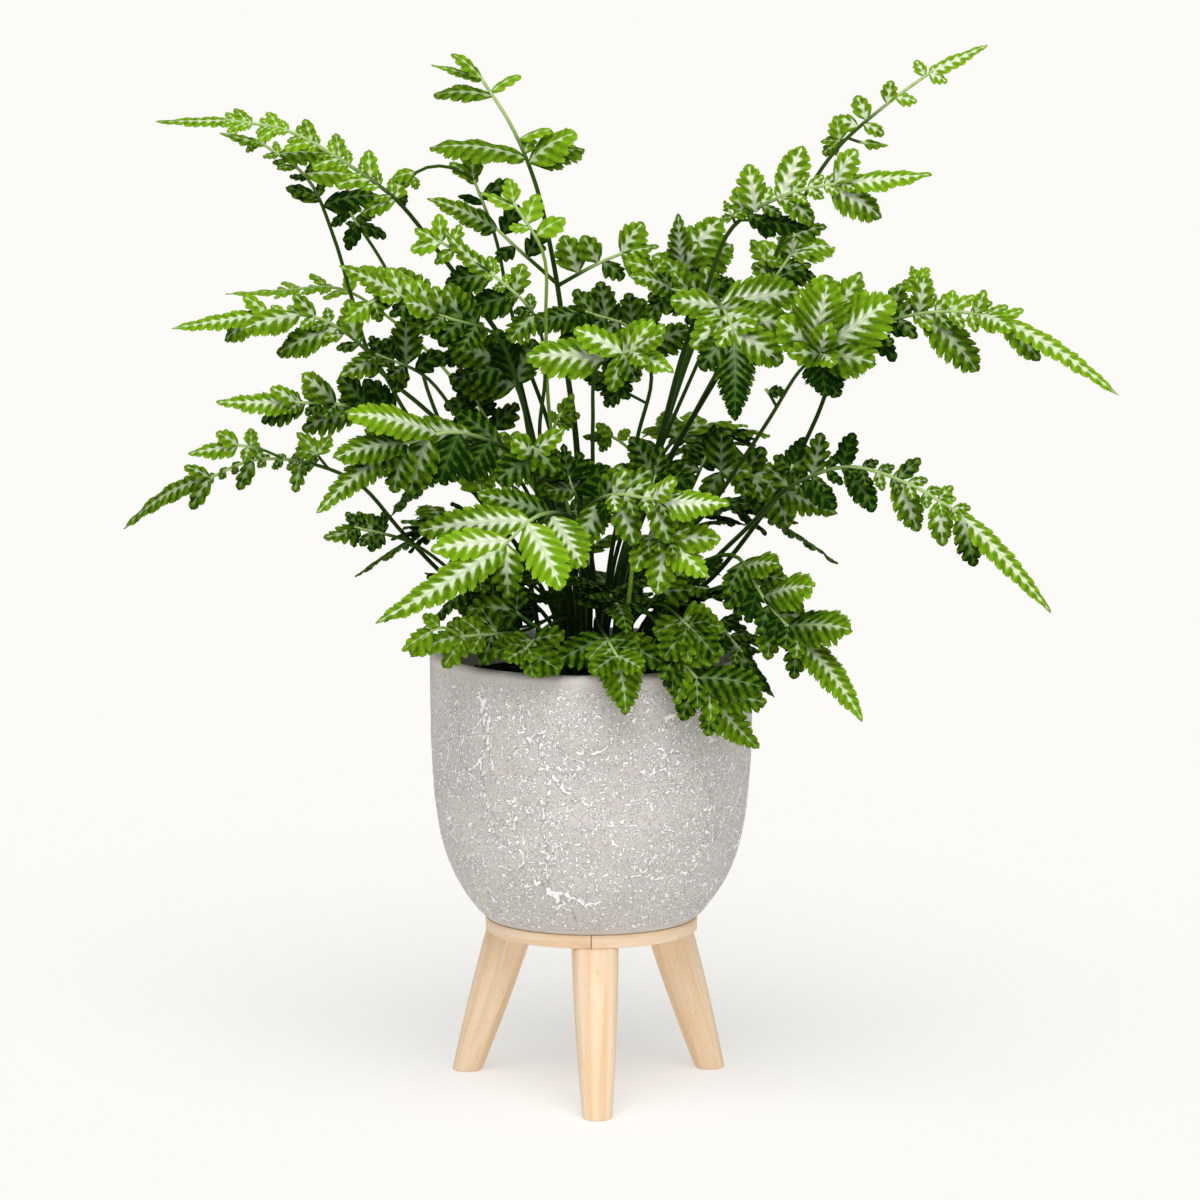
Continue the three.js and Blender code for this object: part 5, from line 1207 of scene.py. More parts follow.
class Graph:
    """A material's node tree, written as expressions."""

    def __init__(self, name: str) -> None:
        """Start a material with one shader.

        Args:
            name: the material's name.
        """
        self.material = bpy.data.materials.new(name)
        self.material.use_nodes = True
        self.tree = self.material.node_tree
        self.shader = self.tree.nodes["Principled BSDF"]

    def feed(self, socket: Socket, value: object) -> None:
        """Link a socket into another, or set its value, where a string is a colour code."""
        if isinstance(value, Socket):
            self.tree.links.new(value, socket)
        else:
            socket.default_value = linear(value) if isinstance(value, str) else value

    def node(self, kind: str, inputs: dict[object, object], **settings: object) -> bpy.types.Node:
        """Add a node.

        Args:
            kind: the node's type, without its prefix.
            inputs: what each input is fed, by its name or number.
            settings: the node's own options.

        Returns:
            The node.
        """
        node = self.tree.nodes.new("ShaderNode" + kind)
        for key, value in settings.items():
            setattr(node, key, value)
        for key, value in inputs.items():
            self.feed(node.inputs[key], value)
        return node

    def math(self, operation: str, *values: object, clamp: bool = False) -> Socket:
        """Return the result of one operation on one to three values."""
        inputs = dict(enumerate(values))
        return self.node("Math", inputs, operation=operation, use_clamp=clamp).outputs[0]

    def times(self, first: object, *others: object) -> Socket:
        """Return a product."""
        for other in others:
            first = self.math("MULTIPLY", first, other)
        return first

    def most(self, first: object, second: object) -> Socket:
        """Return the greater of two values."""
        return self.math("MAXIMUM", first, second)

    def step(self, value: object, low: object, high: object, out: Row = (0.0, 1.0)) -> Socket:
        """Return a smooth step of a value from low to high."""
        inputs = {"Value": value, "From Min": low, "From Max": high, "To Min": out[0],
                  "To Max": out[1]}
        return self.node("MapRange", inputs, interpolation_type="SMOOTHSTEP").outputs[0]

    def mix(self, share: object, first: object, second: object) -> Socket:
        """Return a mix of two colours."""
        return self.node("Mix", {0: share, 6: first, 7: second}, data_type="RGBA").outputs[2]

    def attribute(self, name: str) -> list[Socket]:
        """Return the three parts of a piece's own attribute."""
        vector = self.node("Attribute", {}, attribute_name=name).outputs["Vector"]
        return list(self.node("SeparateXYZ", {0: vector}).outputs)

    def place(self, stretch: Row = (1000.0, 1000.0, 1000.0)) -> Socket:
        """Return the object coordinates in millimetres, or stretched otherwise."""
        spot = self.node("TexCoord", {}).outputs["Object"]
        return self.node("VectorMath", {0: spot, 1: stretch}, operation="MULTIPLY").outputs[0]

    def noise(self, place: Socket, scale: float, detail: float = 2.0, rough: float = 0.5,
              warp: float = 0.0) -> Socket:
        """Return a noise value over a place.

        Args:
            place: the coordinates, in millimetres.
            scale: features to a millimetre.
            detail: octaves.
            rough: how much the fine octaves count.
            warp: how much the noise distorts itself.

        Returns:
            A value from 0 to 1.
        """
        inputs = {"Vector": place, "Scale": scale, "Detail": detail, "Roughness": rough,
                  "Distortion": warp}
        return self.node("TexNoise", inputs).outputs[0]

    def bump(self, height: object, distance: float, strength: float = 1.0) -> None:
        """Give the shader a bump of a height in metres."""
        inputs = {"Strength": strength, "Distance": distance, "Height": height}
        self.feed(self.shader.inputs["Normal"], self.node("Bump", inputs).outputs[0])

    def finish(self, colour: object, roughness: object, **fixed: float) -> bpy.types.Material:
        """Set the shader's colour, roughness and fixed sockets.

        Args:
            colour: the base colour.
            roughness: the roughness.
            fixed: other sockets by name, with _ for a space.

        Returns:
            The material.
        """
        self.feed(self.shader.inputs["Base Color"], colour)
        self.feed(self.shader.inputs["Roughness"], roughness)
        for key, value in fixed.items():
            self.shader.inputs[key.replace("_", " ")].default_value = value
        return self.material


@dataclass(frozen=True)
class BladeFinish:
    """The leaf blade: green, with a silver band along the midrib that feathers into the teeth. Painted
    shade in its tone darkens it.
    """

    deep: str = "0b2801"
    fresh: str = "7eab19"
    silver: str = "f8fce8"
    silver_deep: str = "55802a"
    under: str = "689424"
    under_deep: str = "1b3a05"
    edge: str = "93ba2c"
    rib: str = "94b850"

    def material(self) -> bpy.types.Material:
        """Build the material from the blade's own attributes."""
        g = Graph("silver lace blade")
        phase, cross, along = g.attribute("blade")
        # tone is the blade's own tone with painted shade from the foliage in it; a low tone darkens the
        # green and the underside and dims the silver
        tone, below, silver = g.attribute("tint")
        place = g.place()
        mottle = g.noise(place, 0.35, 3, 0.6)
        out = g.math("ABSOLUTE", cross)
        vein = g.math("MULTIPLY_ADD", g.math("COSINE", g.times(phase, 2 * math.pi)), -0.5, 0.5)
        band = self.band(g, out, vein, g.times(silver, self.width(g, along, mottle)))
        light = g.math("ADD", tone, g.step(mottle, 0.3, 0.7, (-0.14, 0.14)), clamp=True)
        between = g.times(g.math("SUBTRACT", 1.0, vein), 0.3)
        light = g.math("POWER", g.math("SUBTRACT", light, between, clamp=True), 1.15)
        green = g.mix(light, self.deep, self.fresh)
        green = g.mix(g.times(light, g.step(out, 0.75, 1.0, (0.0, 0.5))), green, self.edge)
        # Painted shade: the silver is weaker and duller where the tone is low
        strong = g.times(g.math("ADD", g.times(silver, 0.6), 0.35, clamp=True),
                         g.math("ADD", g.times(tone, 0.95), 0.16, clamp=True))
        silvery = g.mix(g.step(tone, 0.1, 0.7), self.silver_deep, self.silver)
        top = g.mix(g.times(band, strong), green, silvery)
        rib = g.step(out, 0.015, 0.045, (1.0, 0.0))
        top = g.mix(g.times(rib, 0.5, tone), top, self.rib)
        under = g.mix(light, self.under_deep, self.under)
        colour = g.mix(g.times(below, 0.85), top, under)
        g.bump(g.math("ADD", g.times(g.noise(place, 1.6, 3), 0.5), vein), 0.00035, 0.6)
        return g.finish(colour, g.step(mottle, 0.3, 0.7, (0.42, 0.58)), Specular_IOR_Level=0.02)

    def width(self, g: Graph, along: Socket, mottle: Socket) -> Socket:
        """Return how the silver's width varies: less at the tip, uneven elsewhere."""
        fade = g.math("SUBTRACT", 1.0, g.times(g.math("POWER", along, 2.5), 0.55))
        return g.times(fade, g.step(mottle, 0.3, 0.7, (0.8, 1.15)))

    def band(self, g: Graph, out: Socket, vein: Socket, wide: Socket) -> Socket:
        """Return where the silver is: a core by the midrib and a spike along each vein.

        Args:
            g: the material's graph.
            out: the distance from the midrib.
            vein: 1 on a side vein and 0 halfway between two.
            wide: how far out the silver reaches.

        Returns:
            A value from 0, green, to 1, silver.
        """
        far = g.math("DIVIDE", out, g.most(g.times(wide, 0.82), 0.05))
        core = g.step(far, 0.04, 0.42, (0.85, 0.0))
        above = g.math("SUBTRACT", vein, g.times(far, 0.95))
        spike = g.times(g.step(above, -0.08, 0.42), g.step(far, 0.15, 1.1, (0.95, 0.25)))
        flank = g.times(g.step(out, 0.03, 0.06), g.step(out, 0.06, 0.12, (1.0, 0.0)))
        return g.times(g.most(core, spike), g.math("SUBTRACT", 1.0, g.times(flank, 0.35)))


@dataclass(frozen=True)
class StalkFinish:
    """The stalk: dark below, green above, pale along the rachis, with a lighter stripe along one side."""

    foot: str = "0a1002"
    dark: str = "1b3006"
    green: str = "3f6612"
    light: str = "7c9d38"
    pale: str = "abc67a"

    def material(self) -> bpy.types.Material:
        """Build the material from the stalk's own attributes."""
        g = Graph("fern stalk")
        side, _, share = g.attribute("blade")
        tone, light, blade = g.attribute("tint")
        place = g.place((1000.0, 1000.0, 200.0))
        mottle = g.noise(place, 0.8, 3, 0.6)
        stem = g.mix(g.step(share, 0.0, 0.16), self.foot, self.dark)
        stem = g.mix(g.times(g.step(share, 0.35, 1.0), tone), stem, self.green)
        stem = g.mix(g.step(side, 0.45, 0.85, (0.0, 0.4)), stem, self.green)
        stem = g.mix(light, stem, self.light)
        stem = g.mix(g.step(blade, 0.02, 0.6), stem, self.pale)
        stem = g.mix(g.step(mottle, 0.35, 0.75, (0.0, 0.25)), stem, self.foot)
        g.bump(mottle, 0.0002, 0.5)
        return g.finish(stem, 0.42, Specular_IOR_Level=0.05)


@dataclass(frozen=True)
class CementFinish:
    """Grey cast cement with raised white crackle, worm-like flecks and specks, each with a painted shadow
    round it.
    """

    cool: str = "d0cac4"
    warm: str = "e0dad4"
    fleck: str = "ffffff"
    # pit darkens the cement's pits and is also the colour of the painted shadow round the raised marks
    pit_and_shadow: str = "9c958f"

    def material(self) -> bpy.types.Material:
        """Build the material; the crackle comes from the mesh's own attribute."""
        g = Graph("textured cement")
        crackle, height, _ = g.attribute("relief")
        place = g.place()
        broad = g.noise(place, 0.03, 3, 0.6)
        worm = g.noise(place, 0.46, 1.0, 0.5, 0.4)
        gate = g.step(g.noise(place, 0.27, 2, 0.6), 0.38, 0.47)
        near = g.math("ABSOLUTE", g.math("SUBTRACT", worm, 0.5))
        cell = g.node("TexVoronoi", {"Vector": place, "Scale": 0.62, "Randomness": 1.0})
        far = cell.outputs["Distance"]
        spots = g.step(g.noise(place, 0.22, 2), 0.4, 0.55)
        line = g.times(g.step(near, 0.03, 0.054, (1.0, 0.0)), gate)
        dot = g.times(g.step(far, 0.16, 0.25, (1.0, 0.0)), spots)
        white = g.most(g.times(g.most(line, dot), height), g.step(crackle, 0.45, 0.6))
        # Painted shadow: a dark ring round each raised fleck, speck and crackle line
        painted_shadow = g.times(g.step(near, 0.05, 0.13, (1.0, 0.0)), gate)
        ring = g.times(g.step(far, 0.25, 0.4, (1.0, 0.0)), spots)
        painted_shadow = g.most(g.times(g.most(painted_shadow, ring), height), g.step(crackle, 0.05, 0.38))
        base = g.mix(g.step(broad, 0.3, 0.7), self.cool, self.warm)
        grain = g.noise(place, 2.2, 4, 0.7)
        base = g.mix(g.step(grain, 0.35, 0.75, (0.0, 0.3)), base, self.pit_and_shadow)
        base = g.mix(g.times(painted_shadow, 0.6), base, self.pit_and_shadow)
        colour = g.mix(white, base, self.fleck)
        g.bump(g.math("ADD", g.times(white, 0.8), g.times(grain, 0.35)), 0.0008)
        return g.finish(colour, g.step(white, 0.0, 1.0, (0.9, 0.72)), Specular_IOR_Level=0.3)


@dataclass(frozen=True)
class WoodFinish:
    """Pale close-grained wood with short darker pores along the grain."""

    pale: str = "f0d9bd"
    honey: str = "e3c097"
    pore: str = "bd9060"

    def material(self) -> bpy.types.Material:
        """Build the material; the grain attribute runs across, along and through the wood."""
        g = Graph("pale wood")
        across, along, through = g.attribute("grain")
        parts = {0: across, 1: g.times(along, 0.06), 2: through}
        figure = g.noise(g.node("CombineXYZ", parts).outputs[0], 0.22, 4, 0.6, 0.4)
        parts = {0: g.times(across, 2.4), 1: g.times(along, 0.22), 2: through}
        fine = g.noise(g.node("CombineXYZ", parts).outputs[0], 1.0, 2, 0.5)
        pores = g.step(fine, 0.66, 0.76, (0.0, 0.55))
        colour = g.mix(g.step(figure, 0.3, 0.72), self.pale, self.honey)
        colour = g.mix(pores, colour, self.pore)
        g.bump(g.math("SUBTRACT", g.times(figure, 0.3), pores), 0.0002, 0.5)
        return g.finish(colour, g.step(figure, 0.2, 0.8, (0.46, 0.58)), Specular_IOR_Level=0.35)


@dataclass(frozen=True)
class SoilFinish:
    """Moist, near-black potting soil."""

    dark: str = "0f0b08"
    brown: str = "2b2018"

    def material(self) -> bpy.types.Material:
        """Build the material."""
        g = Graph("potting soil")
        crumb = g.noise(g.place(), 0.5, 5, 0.7)
        colour = g.mix(g.step(crumb, 0.4, 0.75), self.dark, self.brown)
        g.bump(crumb, 0.0012)
        return g.finish(colour, 0.95, Specular_IOR_Level=0.2)


@dataclass(frozen=True)
class FloorFinish:
    """The studio's plain pale floor, lit a little from below so that shadows stay faint."""

    white: str = "b4b3b1"
    glow_colour: str = "fffefb"
    glow: float = 0.48

    def material(self) -> bpy.types.Material:
        """Build the material."""
        g = Graph("studio floor")
        g.feed(g.shader.inputs["Emission Color"], self.glow_colour)
        return g.finish(self.white, 0.9, Specular_IOR_Level=0.0, Emission_Strength=self.glow)


def sweep(bm: bmesh.types.BMesh, rings: int, sides: int,
          place: Callable[[int, int], np.ndarray]) -> list[bmesh.types.BMVert]:
    """Add a closed tube and move each of its vertices to its place.

    Args:
        bm: the mesh that it joins.
        rings: how many rings it has from end to end.
        sides: how many vertices a ring has.
        place: gives a vertex's place in metres from its ring's and its own number.

    Returns:
        The tube's vertices, ring by ring.
    """
    before = set(bm.verts)
    made = bmesh.ops.create_cone(bm, cap_ends=True, segments=sides, radius1=1, radius2=1, depth=1)
    walls = {edge for vert in made["verts"] for edge in vert.link_edges
             if abs(edge.verts[0].co.z - edge.verts[1].co.z) > 0.5}
    bmesh.ops.subdivide_edges(bm, edges=list(walls), cuts=rings - 2)
    table = {}
    for vert in bm.verts:
        if vert not in before:
            ring = round((vert.co.z + 0.5) * (rings - 1))
            corner = round(math.atan2(vert.co.y, vert.co.x) / (2 * math.pi) * sides) % sides
            table[ring, corner] = vert
    for (ring, corner), vert in table.items():
        vert.co = place(ring, corner)
    return [table[ring, corner] for ring in range(rings) for corner in range(sides)]


def spun(profile: list[Row], steps: int) -> bmesh.types.BMesh:
    """Spin a profile of (radius, height) in millimetres once round the axis.

    Args:
        profile: its points, from one pole of the axis to the other.
        steps: how many steps the turn takes.

    Returns:
        The closed mesh, in metres.
    """
    bm = bmesh.new()
    chain = [bm.verts.new((radius * MM, 0, height * MM)) for radius, height in profile]
    edges = [bm.edges.new(pair) for pair in zip(chain, chain[1:])]
    bmesh.ops.spin(bm, geom=[*chain, *edges], cent=(0, 0, 0), axis=(0, 0, 1), angle=2 * math.pi,
                   steps=steps, use_merge=True)
    bmesh.ops.remove_doubles(bm, verts=bm.verts, dist=2e-6)
    bmesh.ops.recalc_face_normals(bm, faces=bm.faces)
    return bm


def finish_piece(name: str, bm: bmesh.types.BMesh, materials: list[bpy.types.Material]) -> bpy.types.Object:
    """Turn a mesh into a piece that stands for the CAD node of the same name.

    Args:
        name: the node's name; the piece gets it with a suffix.
        bm: the mesh, which is freed.
        materials: its material slots.

    Returns:
        The piece.
    """
    mesh = bpy.data.meshes.new(name + "_dressed")
    bm.to_mesh(mesh)
    bm.free()
    mesh.shade_smooth()
    for material in materials:
        mesh.materials.append(material)
    piece = bpy.data.objects.new(name + "_dressed", mesh)
    bpy.context.scene.collection.objects.link(piece)
    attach(piece, "root")
    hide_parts(name)
    logging.info("%s: %d faces", piece.name, len(mesh.polygons))
    return piece


def set_attribute(mesh: bpy.types.Mesh, name: str, values: np.ndarray) -> None:
    """Write a vector for each vertex of a mesh as an attribute."""
    layer = mesh.attributes.new(name, "FLOAT_VECTOR", "POINT")
    layer.data.foreach_set("vector", np.ascontiguousarray(values, np.float32).ravel())


def vertex_places(mesh: bpy.types.Mesh) -> np.ndarray:
    """Return a mesh's vertices in metres, one a row."""
    places = np.empty(len(mesh.vertices) * 3, np.float32)
    mesh.vertices.foreach_get("co", places)
    return places.reshape(-1, 3).astype(float)


class BladeTemplate:
    """A flat two-sided grid that is copied and moved into the shape of one blade after another."""

    FINE_ROWS = (0.0, 0.12, 0.42, 0.74, 1.0)
    FINE_GRAIN = 6
    PLAIN_ROWS = (0.0, 0.5, 1.0)
    PLAIN_GRAIN = 4
    SLANT = 0.78

    def __init__(self, bm: bmesh.types.BMesh, teeth: int, fine: bool) -> None:
        """Make the grid.

        Args:
            bm: the mesh of the frond.
            teeth: how many teeth each edge gets.
            fine: whether it is for a large blade, with a raised midrib and teeth on its teeth.
        """
        self.bm = bm
        self.teeth = teeth
        spread = self.FINE_ROWS if fine else self.PLAIN_ROWS
        grain = self.FINE_GRAIN if fine else self.PLAIN_GRAIN
        rows = len(spread) - 1
        sheet = bmesh.ops.create_grid(bm, x_segments=teeth * grain, y_segments=2 * rows, size=0.5)
        faces = list({face for vert in sheet["verts"] for face in vert.link_faces})
        shell = bmesh.ops.solidify(bm, geom=faces, thickness=0.1)
        verts = {vert for face in faces for vert in face.verts}
        verts |= {item for item in shell["geom"] if isinstance(item, bmesh.types.BMVert)}
        self.verts = list(verts)
        places = np.array([vert.co for vert in self.verts])
        top = places[:, 2] > places[:, 2].mean()
        self.phase = np.round((places[:, 0] + 0.5) * teeth * grain) / grain
        row = np.round(places[:, 1] * 2 * rows).astype(int)
        self.cross = np.sign(row) * np.array(spread)[np.abs(row)]
        self.side = np.where(top, 1.0, -1.0)
        self.faces = list({face for vert in self.verts for face in vert.link_faces})
        self.edges = list({edge for vert in self.verts for edge in vert.link_edges})
        above = {vert for vert, up in zip(self.verts, top) if up}
        for edge in self.edges:
            rims = sum(0 < sum(vert in above for vert in face.verts) < len(face.verts)
                       for face in edge.link_faces)
            edge.smooth = rims != 1

    def stamp(self, blade: Blade, tones: Row, silver: float, form: "BladeForm") -> None:
        """Copy the grid and move it into a blade.

        Args:
            blade: where the blade lies.
            tones: its tone at its base and at its tip, lowered by painted shade from the foliage.
            silver: how silver it is.
            form: its lobes and relief.
        """
        copy = bmesh.ops.duplicate(self.bm, geom=[*self.verts, *self.edges, *self.faces])
        mapping = copy["vert_map"]
        places, along = form.places(blade, self)
        near = self.bm.verts.layers.float_vector["blade"]
        tone = self.bm.verts.layers.float_vector["tint"]
        rows = zip(self.verts, (places * MM).tolist(), self.phase.tolist(), self.cross.tolist(),
                   along.tolist(), self.side.tolist())
        for vert, place, phase, cross, share, side in rows:
            twin = mapping[vert]
            twin.co = place
            twin[near] = (phase, cross, share)
            light = tones[0] + (tones[1] - tones[0]) * share
            twin[tone] = (light, 0.0 if side > 0 else 1.0, silver)

    def discard(self) -> None:
        """Take the grid itself out of the mesh."""
        bmesh.ops.delete(self.bm, geom=self.verts, context="VERTS")


@dataclass(frozen=True)
class BladeForm:
    """A blade's lobes, relief and thickness, in millimetres.

    uneven holds a factor for each lobe of the one side and the other. The names in capitals are
    the ranges that the others are drawn from, and what shapes every blade.
    """

    UNEVEN = (0.55, 1.45)
    LOBE_DEPTHS = (0.16, 0.3)
    DROOPS = (-0.6, 2.2)
    WAVES = (0, 6.28)
    UNEVEN_REACH = 0.07
    ROUND_LOBE = 0.6
    HALVINGS = 24

    uneven: np.ndarray
    lobe_depth: float
    droop: float
    wave: float
    tooth_depth: float = 0.07
    relief: float = 0.45
    ruffle: float = 1.1
    thickness: float = 0.4
    rib: float = 0.45

    @classmethod
    def drawn(cls, rng: np.random.Generator, lobes: int) -> "BladeForm":
        """Draw a blade's form.

        Args:
            rng: draws it.
            lobes: how many lobes each side has.

        Returns:
            The form.
        """
        return cls(rng.uniform(*cls.UNEVEN, (2, lobes)), float(rng.uniform(*cls.LOBE_DEPTHS)),
                   float(rng.uniform(*cls.DROOPS)), float(rng.uniform(*cls.WAVES)))

    def outline(self, blade: Blade, start: np.ndarray) -> np.ndarray:
        """Find how far out each side vein ends.

        Args:
            blade: the blade.
            start: where each vein leaves the midrib, as a share of the length.

        Returns:
            The distance of its end from the midrib.
        """
        low = np.full_like(start, 1e-3)
        high = (1 - start) * blade.length / BladeTemplate.SLANT
        for _ in range(self.HALVINGS):
            middle = (low + high) / 2
            share = start + BladeTemplate.SLANT * middle / blade.length
            over = middle > blade.half * width_share(share, blade.form.dressed_peak,
                                                     blade.form.dressed_ends)
            high = np.where(over, middle, high)
            low = np.where(over, low, middle)
        return np.minimum(low, (1 - start) * blade.length / BladeTemplate.SLANT)

    def places(self, blade: Blade, grid: BladeTemplate) -> tuple[np.ndarray, np.ndarray]:
        """Map a template's vertices onto a blade.

        Args:
            blade: the blade.
            grid: the template.

        Returns:
            The vertices' places in millimetres, and their shares of the length.
        """
        start = grid.phase / grid.teeth
        reach = self.outline(blade, start)
        out = np.abs(grid.cross)
        left = (grid.cross < 0).astype(int)
        uneven = self.uneven[left, np.minimum(grid.phase.astype(int), grid.teeth - 1)]
        bulge = np.abs(np.sin(math.pi * grid.phase)) ** self.ROUND_LOBE
        cut = 1 - self.lobe_depth * uneven * (1 - bulge) * out ** 3
        cut = cut + self.UNEVEN_REACH * (uneven - 1) * out
        cut -= self.tooth_depth * np.abs(np.cos(3 * math.pi * grid.phase)) * out ** 4
        away = reach * out * cut
        share = np.clip(start + BladeTemplate.SLANT * away / blade.length, 0, 1)
        size = blade.half / 10
        swell = self.relief * size * np.cos(2 * math.pi * grid.phase) * np.sqrt(4 * out * (1 - out))
        droop = self.droop * size * (away / blade.half) ** 2
        skin = self.thickness / 2 * (1 - 0.4 * out) * grid.side
        rib = np.where(grid.side < 0, -self.rib * size, 0.05) * (out < 0.05) * (1 - 0.6 * start)
        ruffle = self.ruffle * size * np.sin(2.1 * grid.phase + self.wave + 1.7 * left) * out ** 2
        lift = swell + skin + rib + ruffle - droop
        return blade.surface(share, away * np.sign(grid.cross), lift), share


@dataclass
class FrondPiece:
    """One frond with the branches that grow from it, as one mesh; rng draws its leaflets."""

    SIDES = 8
    RING_STEP, FEWEST_RINGS = 5.0, 6
    STALK_TONES = (0.2, 0.9)
    JOIN_REACH, BENT_AWAY = 2.0, 4.0
    FLARE, FLARE_LENGTH = 0.22, 40.0
    FINE_LENGTH = 19.0
    LOBE_SPACINGS = {Form.LEAFLET: 5.0, Form.LOBE: 4.2}
    LOBE_COUNTS = (3, 12)
    ROUNDEST = 0.46
    # TONES draws a blade's own tone; SHADING and DARKEST set how far painted shade from the foliage may
    # lower it
    TONES = (0.72, 1.12)
    PALE_TONE = 0.3
    SHADING = 0.66
    DARKEST = 0.1
    SILVERS = (0.8, 1.1)
    SMALL_SILVER, SILVER_LENGTH = 0.6, 60.0
    FOOT_SHARE = 0.15

    fronds: list[Frond]
    thicket: Thicket
    rng: np.random.Generator

    def add_stalk(self, bm: bmesh.types.BMesh, frond: Frond) -> None:
        """Add the tapering stalk of a frond.

        Args:
            bm: the mesh.
            frond: the frond or branch.
        """
        trail = frond.smooth_stalk()
        rings = max(self.FEWEST_RINGS, round(trail.length / self.RING_STEP))
        marks = [trail.length * i / (rings - 1) for i in range(rings)]
        centres = np.array([trail.at(mark) for mark in marks])
        ahead = np.array([trail.direction_at(mark) for mark in marks])
        side = unit(np.cross(ahead[0], (0.0, 1.0, 0.1)))
        frames = []
        for direction in ahead:
            side = unit(side - direction * float(side @ direction))
            frames.append((side, np.cross(direction, side)))
        foot = 0 if frond.plan.on else 1

        def place(ring: int, corner: int) -> np.ndarray:
            """Return a vertex of the stalk from its ring's and its own number."""
            angle = 2 * math.pi * corner / self.SIDES
            share = ring / (rings - 1)
            flare = self.FLARE * foot * max(0, 1 - marks[ring] / self.FLARE_LENGTH)
            radius = frond.girth_at(share) * (1 + flare)
            first, second = frames[ring]
            spot = centres[ring] + (first * math.cos(angle) + second * math.sin(angle)) * radius
            return spot * MM

        verts = sweep(bm, rings, self.SIDES, place)
        near = bm.verts.layers.float_vector["blade"]
        tone = bm.verts.layers.float_vector["tint"]
        shade = float(self.rng.uniform(*self.STALK_TONES))
        above = 1 - frond.neck_share
        for k, vert in enumerate(verts):
            share = (k // self.SIDES) / (rings - 1)
            angle = 2 * math.pi * (k % self.SIDES) / self.SIDES
            leafy = max(0.0, share - frond.neck_share) / above
            vert[near] = (math.cos(angle), 0, 1 if frond.plan.on else share)
            vert[tone] = (shade, 1.0 if frond.plan.light else 0.0, leafy)
        for face in {face for vert in verts for face in vert.link_faces}:
            face.material_index = 1

    def dressed(self, frond: Frond, blade: Blade, smooth: Trail) -> Blade:
        """Return a fuller blade, its base moved from the straight runs onto the smooth stalk.

        Args:
            frond: the frond that it belongs to.
            blade: the blade as it grew.
            smooth: the frond's smooth stalk.

        Returns:
            The dressed blade.
        """
        gaps = np.linalg.norm(smooth.points - blade.base, axis=1)
        base = blade.base
        if float(gaps.min()) < self.JOIN_REACH:
            base = smooth.points[int(np.argmin(gaps))]
        half = min(blade.half * blade.full, self.ROUNDEST * blade.length) * blade.trim
        tip = base + (blade.tip - base) * blade.trim
        bend = base + (blade.bend - base) * blade.trim
        off = float(np.linalg.norm(tip - base - frond.lobe_tip))
        if blade.form is Form.LOBE and off < self.BENT_AWAY:
            bend = base + frond.lobe_middle * 2 - (tip - base) / 2
        return Blade(base, bend, tip, blade.face, half, blade.form)

    def build(self, materials: list[bpy.types.Material]) -> None:
        """Build the frond's mesh, with the materials of its blades and its stalk."""
        bm = bmesh.new()
        bm.verts.layers.float_vector.new("blade")
        bm.verts.layers.float_vector.new("tint")
        for frond in self.fronds:
            self.add_stalk(bm, frond)
        work: dict[tuple[int, bool], list[tuple[Frond, Blade]]] = {}
        for frond in self.fronds:
            smooth = frond.smooth_stalk()
            for blade in frond.blades:
                lobes = round(blade.length * blade.trim / self.LOBE_SPACINGS[blade.form])
                lobes = int(np.clip(lobes, *self.LOBE_COUNTS))
                kind = (lobes, blade.length > self.FINE_LENGTH)
                work.setdefault(kind, []).append((frond, self.dressed(frond, blade, smooth)))
        for kind in sorted(work):
            template = BladeTemplate(bm, *kind)
            for frond, blade in work[kind]:
                plan = frond.plan
                # Painted shade: a blade's own random tone is lowered where foliage lies over and before it,
                # at its foot and at its tip
                own = float(self.rng.uniform(*self.TONES)) + (self.PALE_TONE if plan.light else 0)
                tones = tuple(max(self.DARKEST,
                                  own - self.SHADING * plan.shade * self.thicket.foliage_shade(spot))
                              for spot in (blade.midrib(np.array([self.FOOT_SHARE]))[0],
                                           blade.tip))
                large = min(1.0, self.SMALL_SILVER + blade.length / self.SILVER_LENGTH)
                silver = float(self.rng.uniform(*self.SILVERS)) * plan.silver * large
                template.stamp(blade, tones, silver, BladeForm.drawn(self.rng, kind[0]))
            template.discard()
        bmesh.ops.remove_doubles(bm, verts=bm.verts, dist=1e-5)
        bmesh.ops.recalc_face_normals(bm, faces=bm.faces)
        plan = self.fronds[0].plan
        finish_piece(plan.name, bm, materials)


def noise_over(x: np.ndarray, z: np.ndarray, scale: float, layer: float) -> np.ndarray:
    """Return a noise value for each spot of a surface."""
    return np.array([noise.noise((a * scale, b * scale, layer)) for a, b in zip(x, z)])


@dataclass
class CrackleWalk:
    """A raised white line that wanders over the pot: unwrapped start, heading and size."""

    x: float
    z: float
    heading: float
    length: int
    width: float


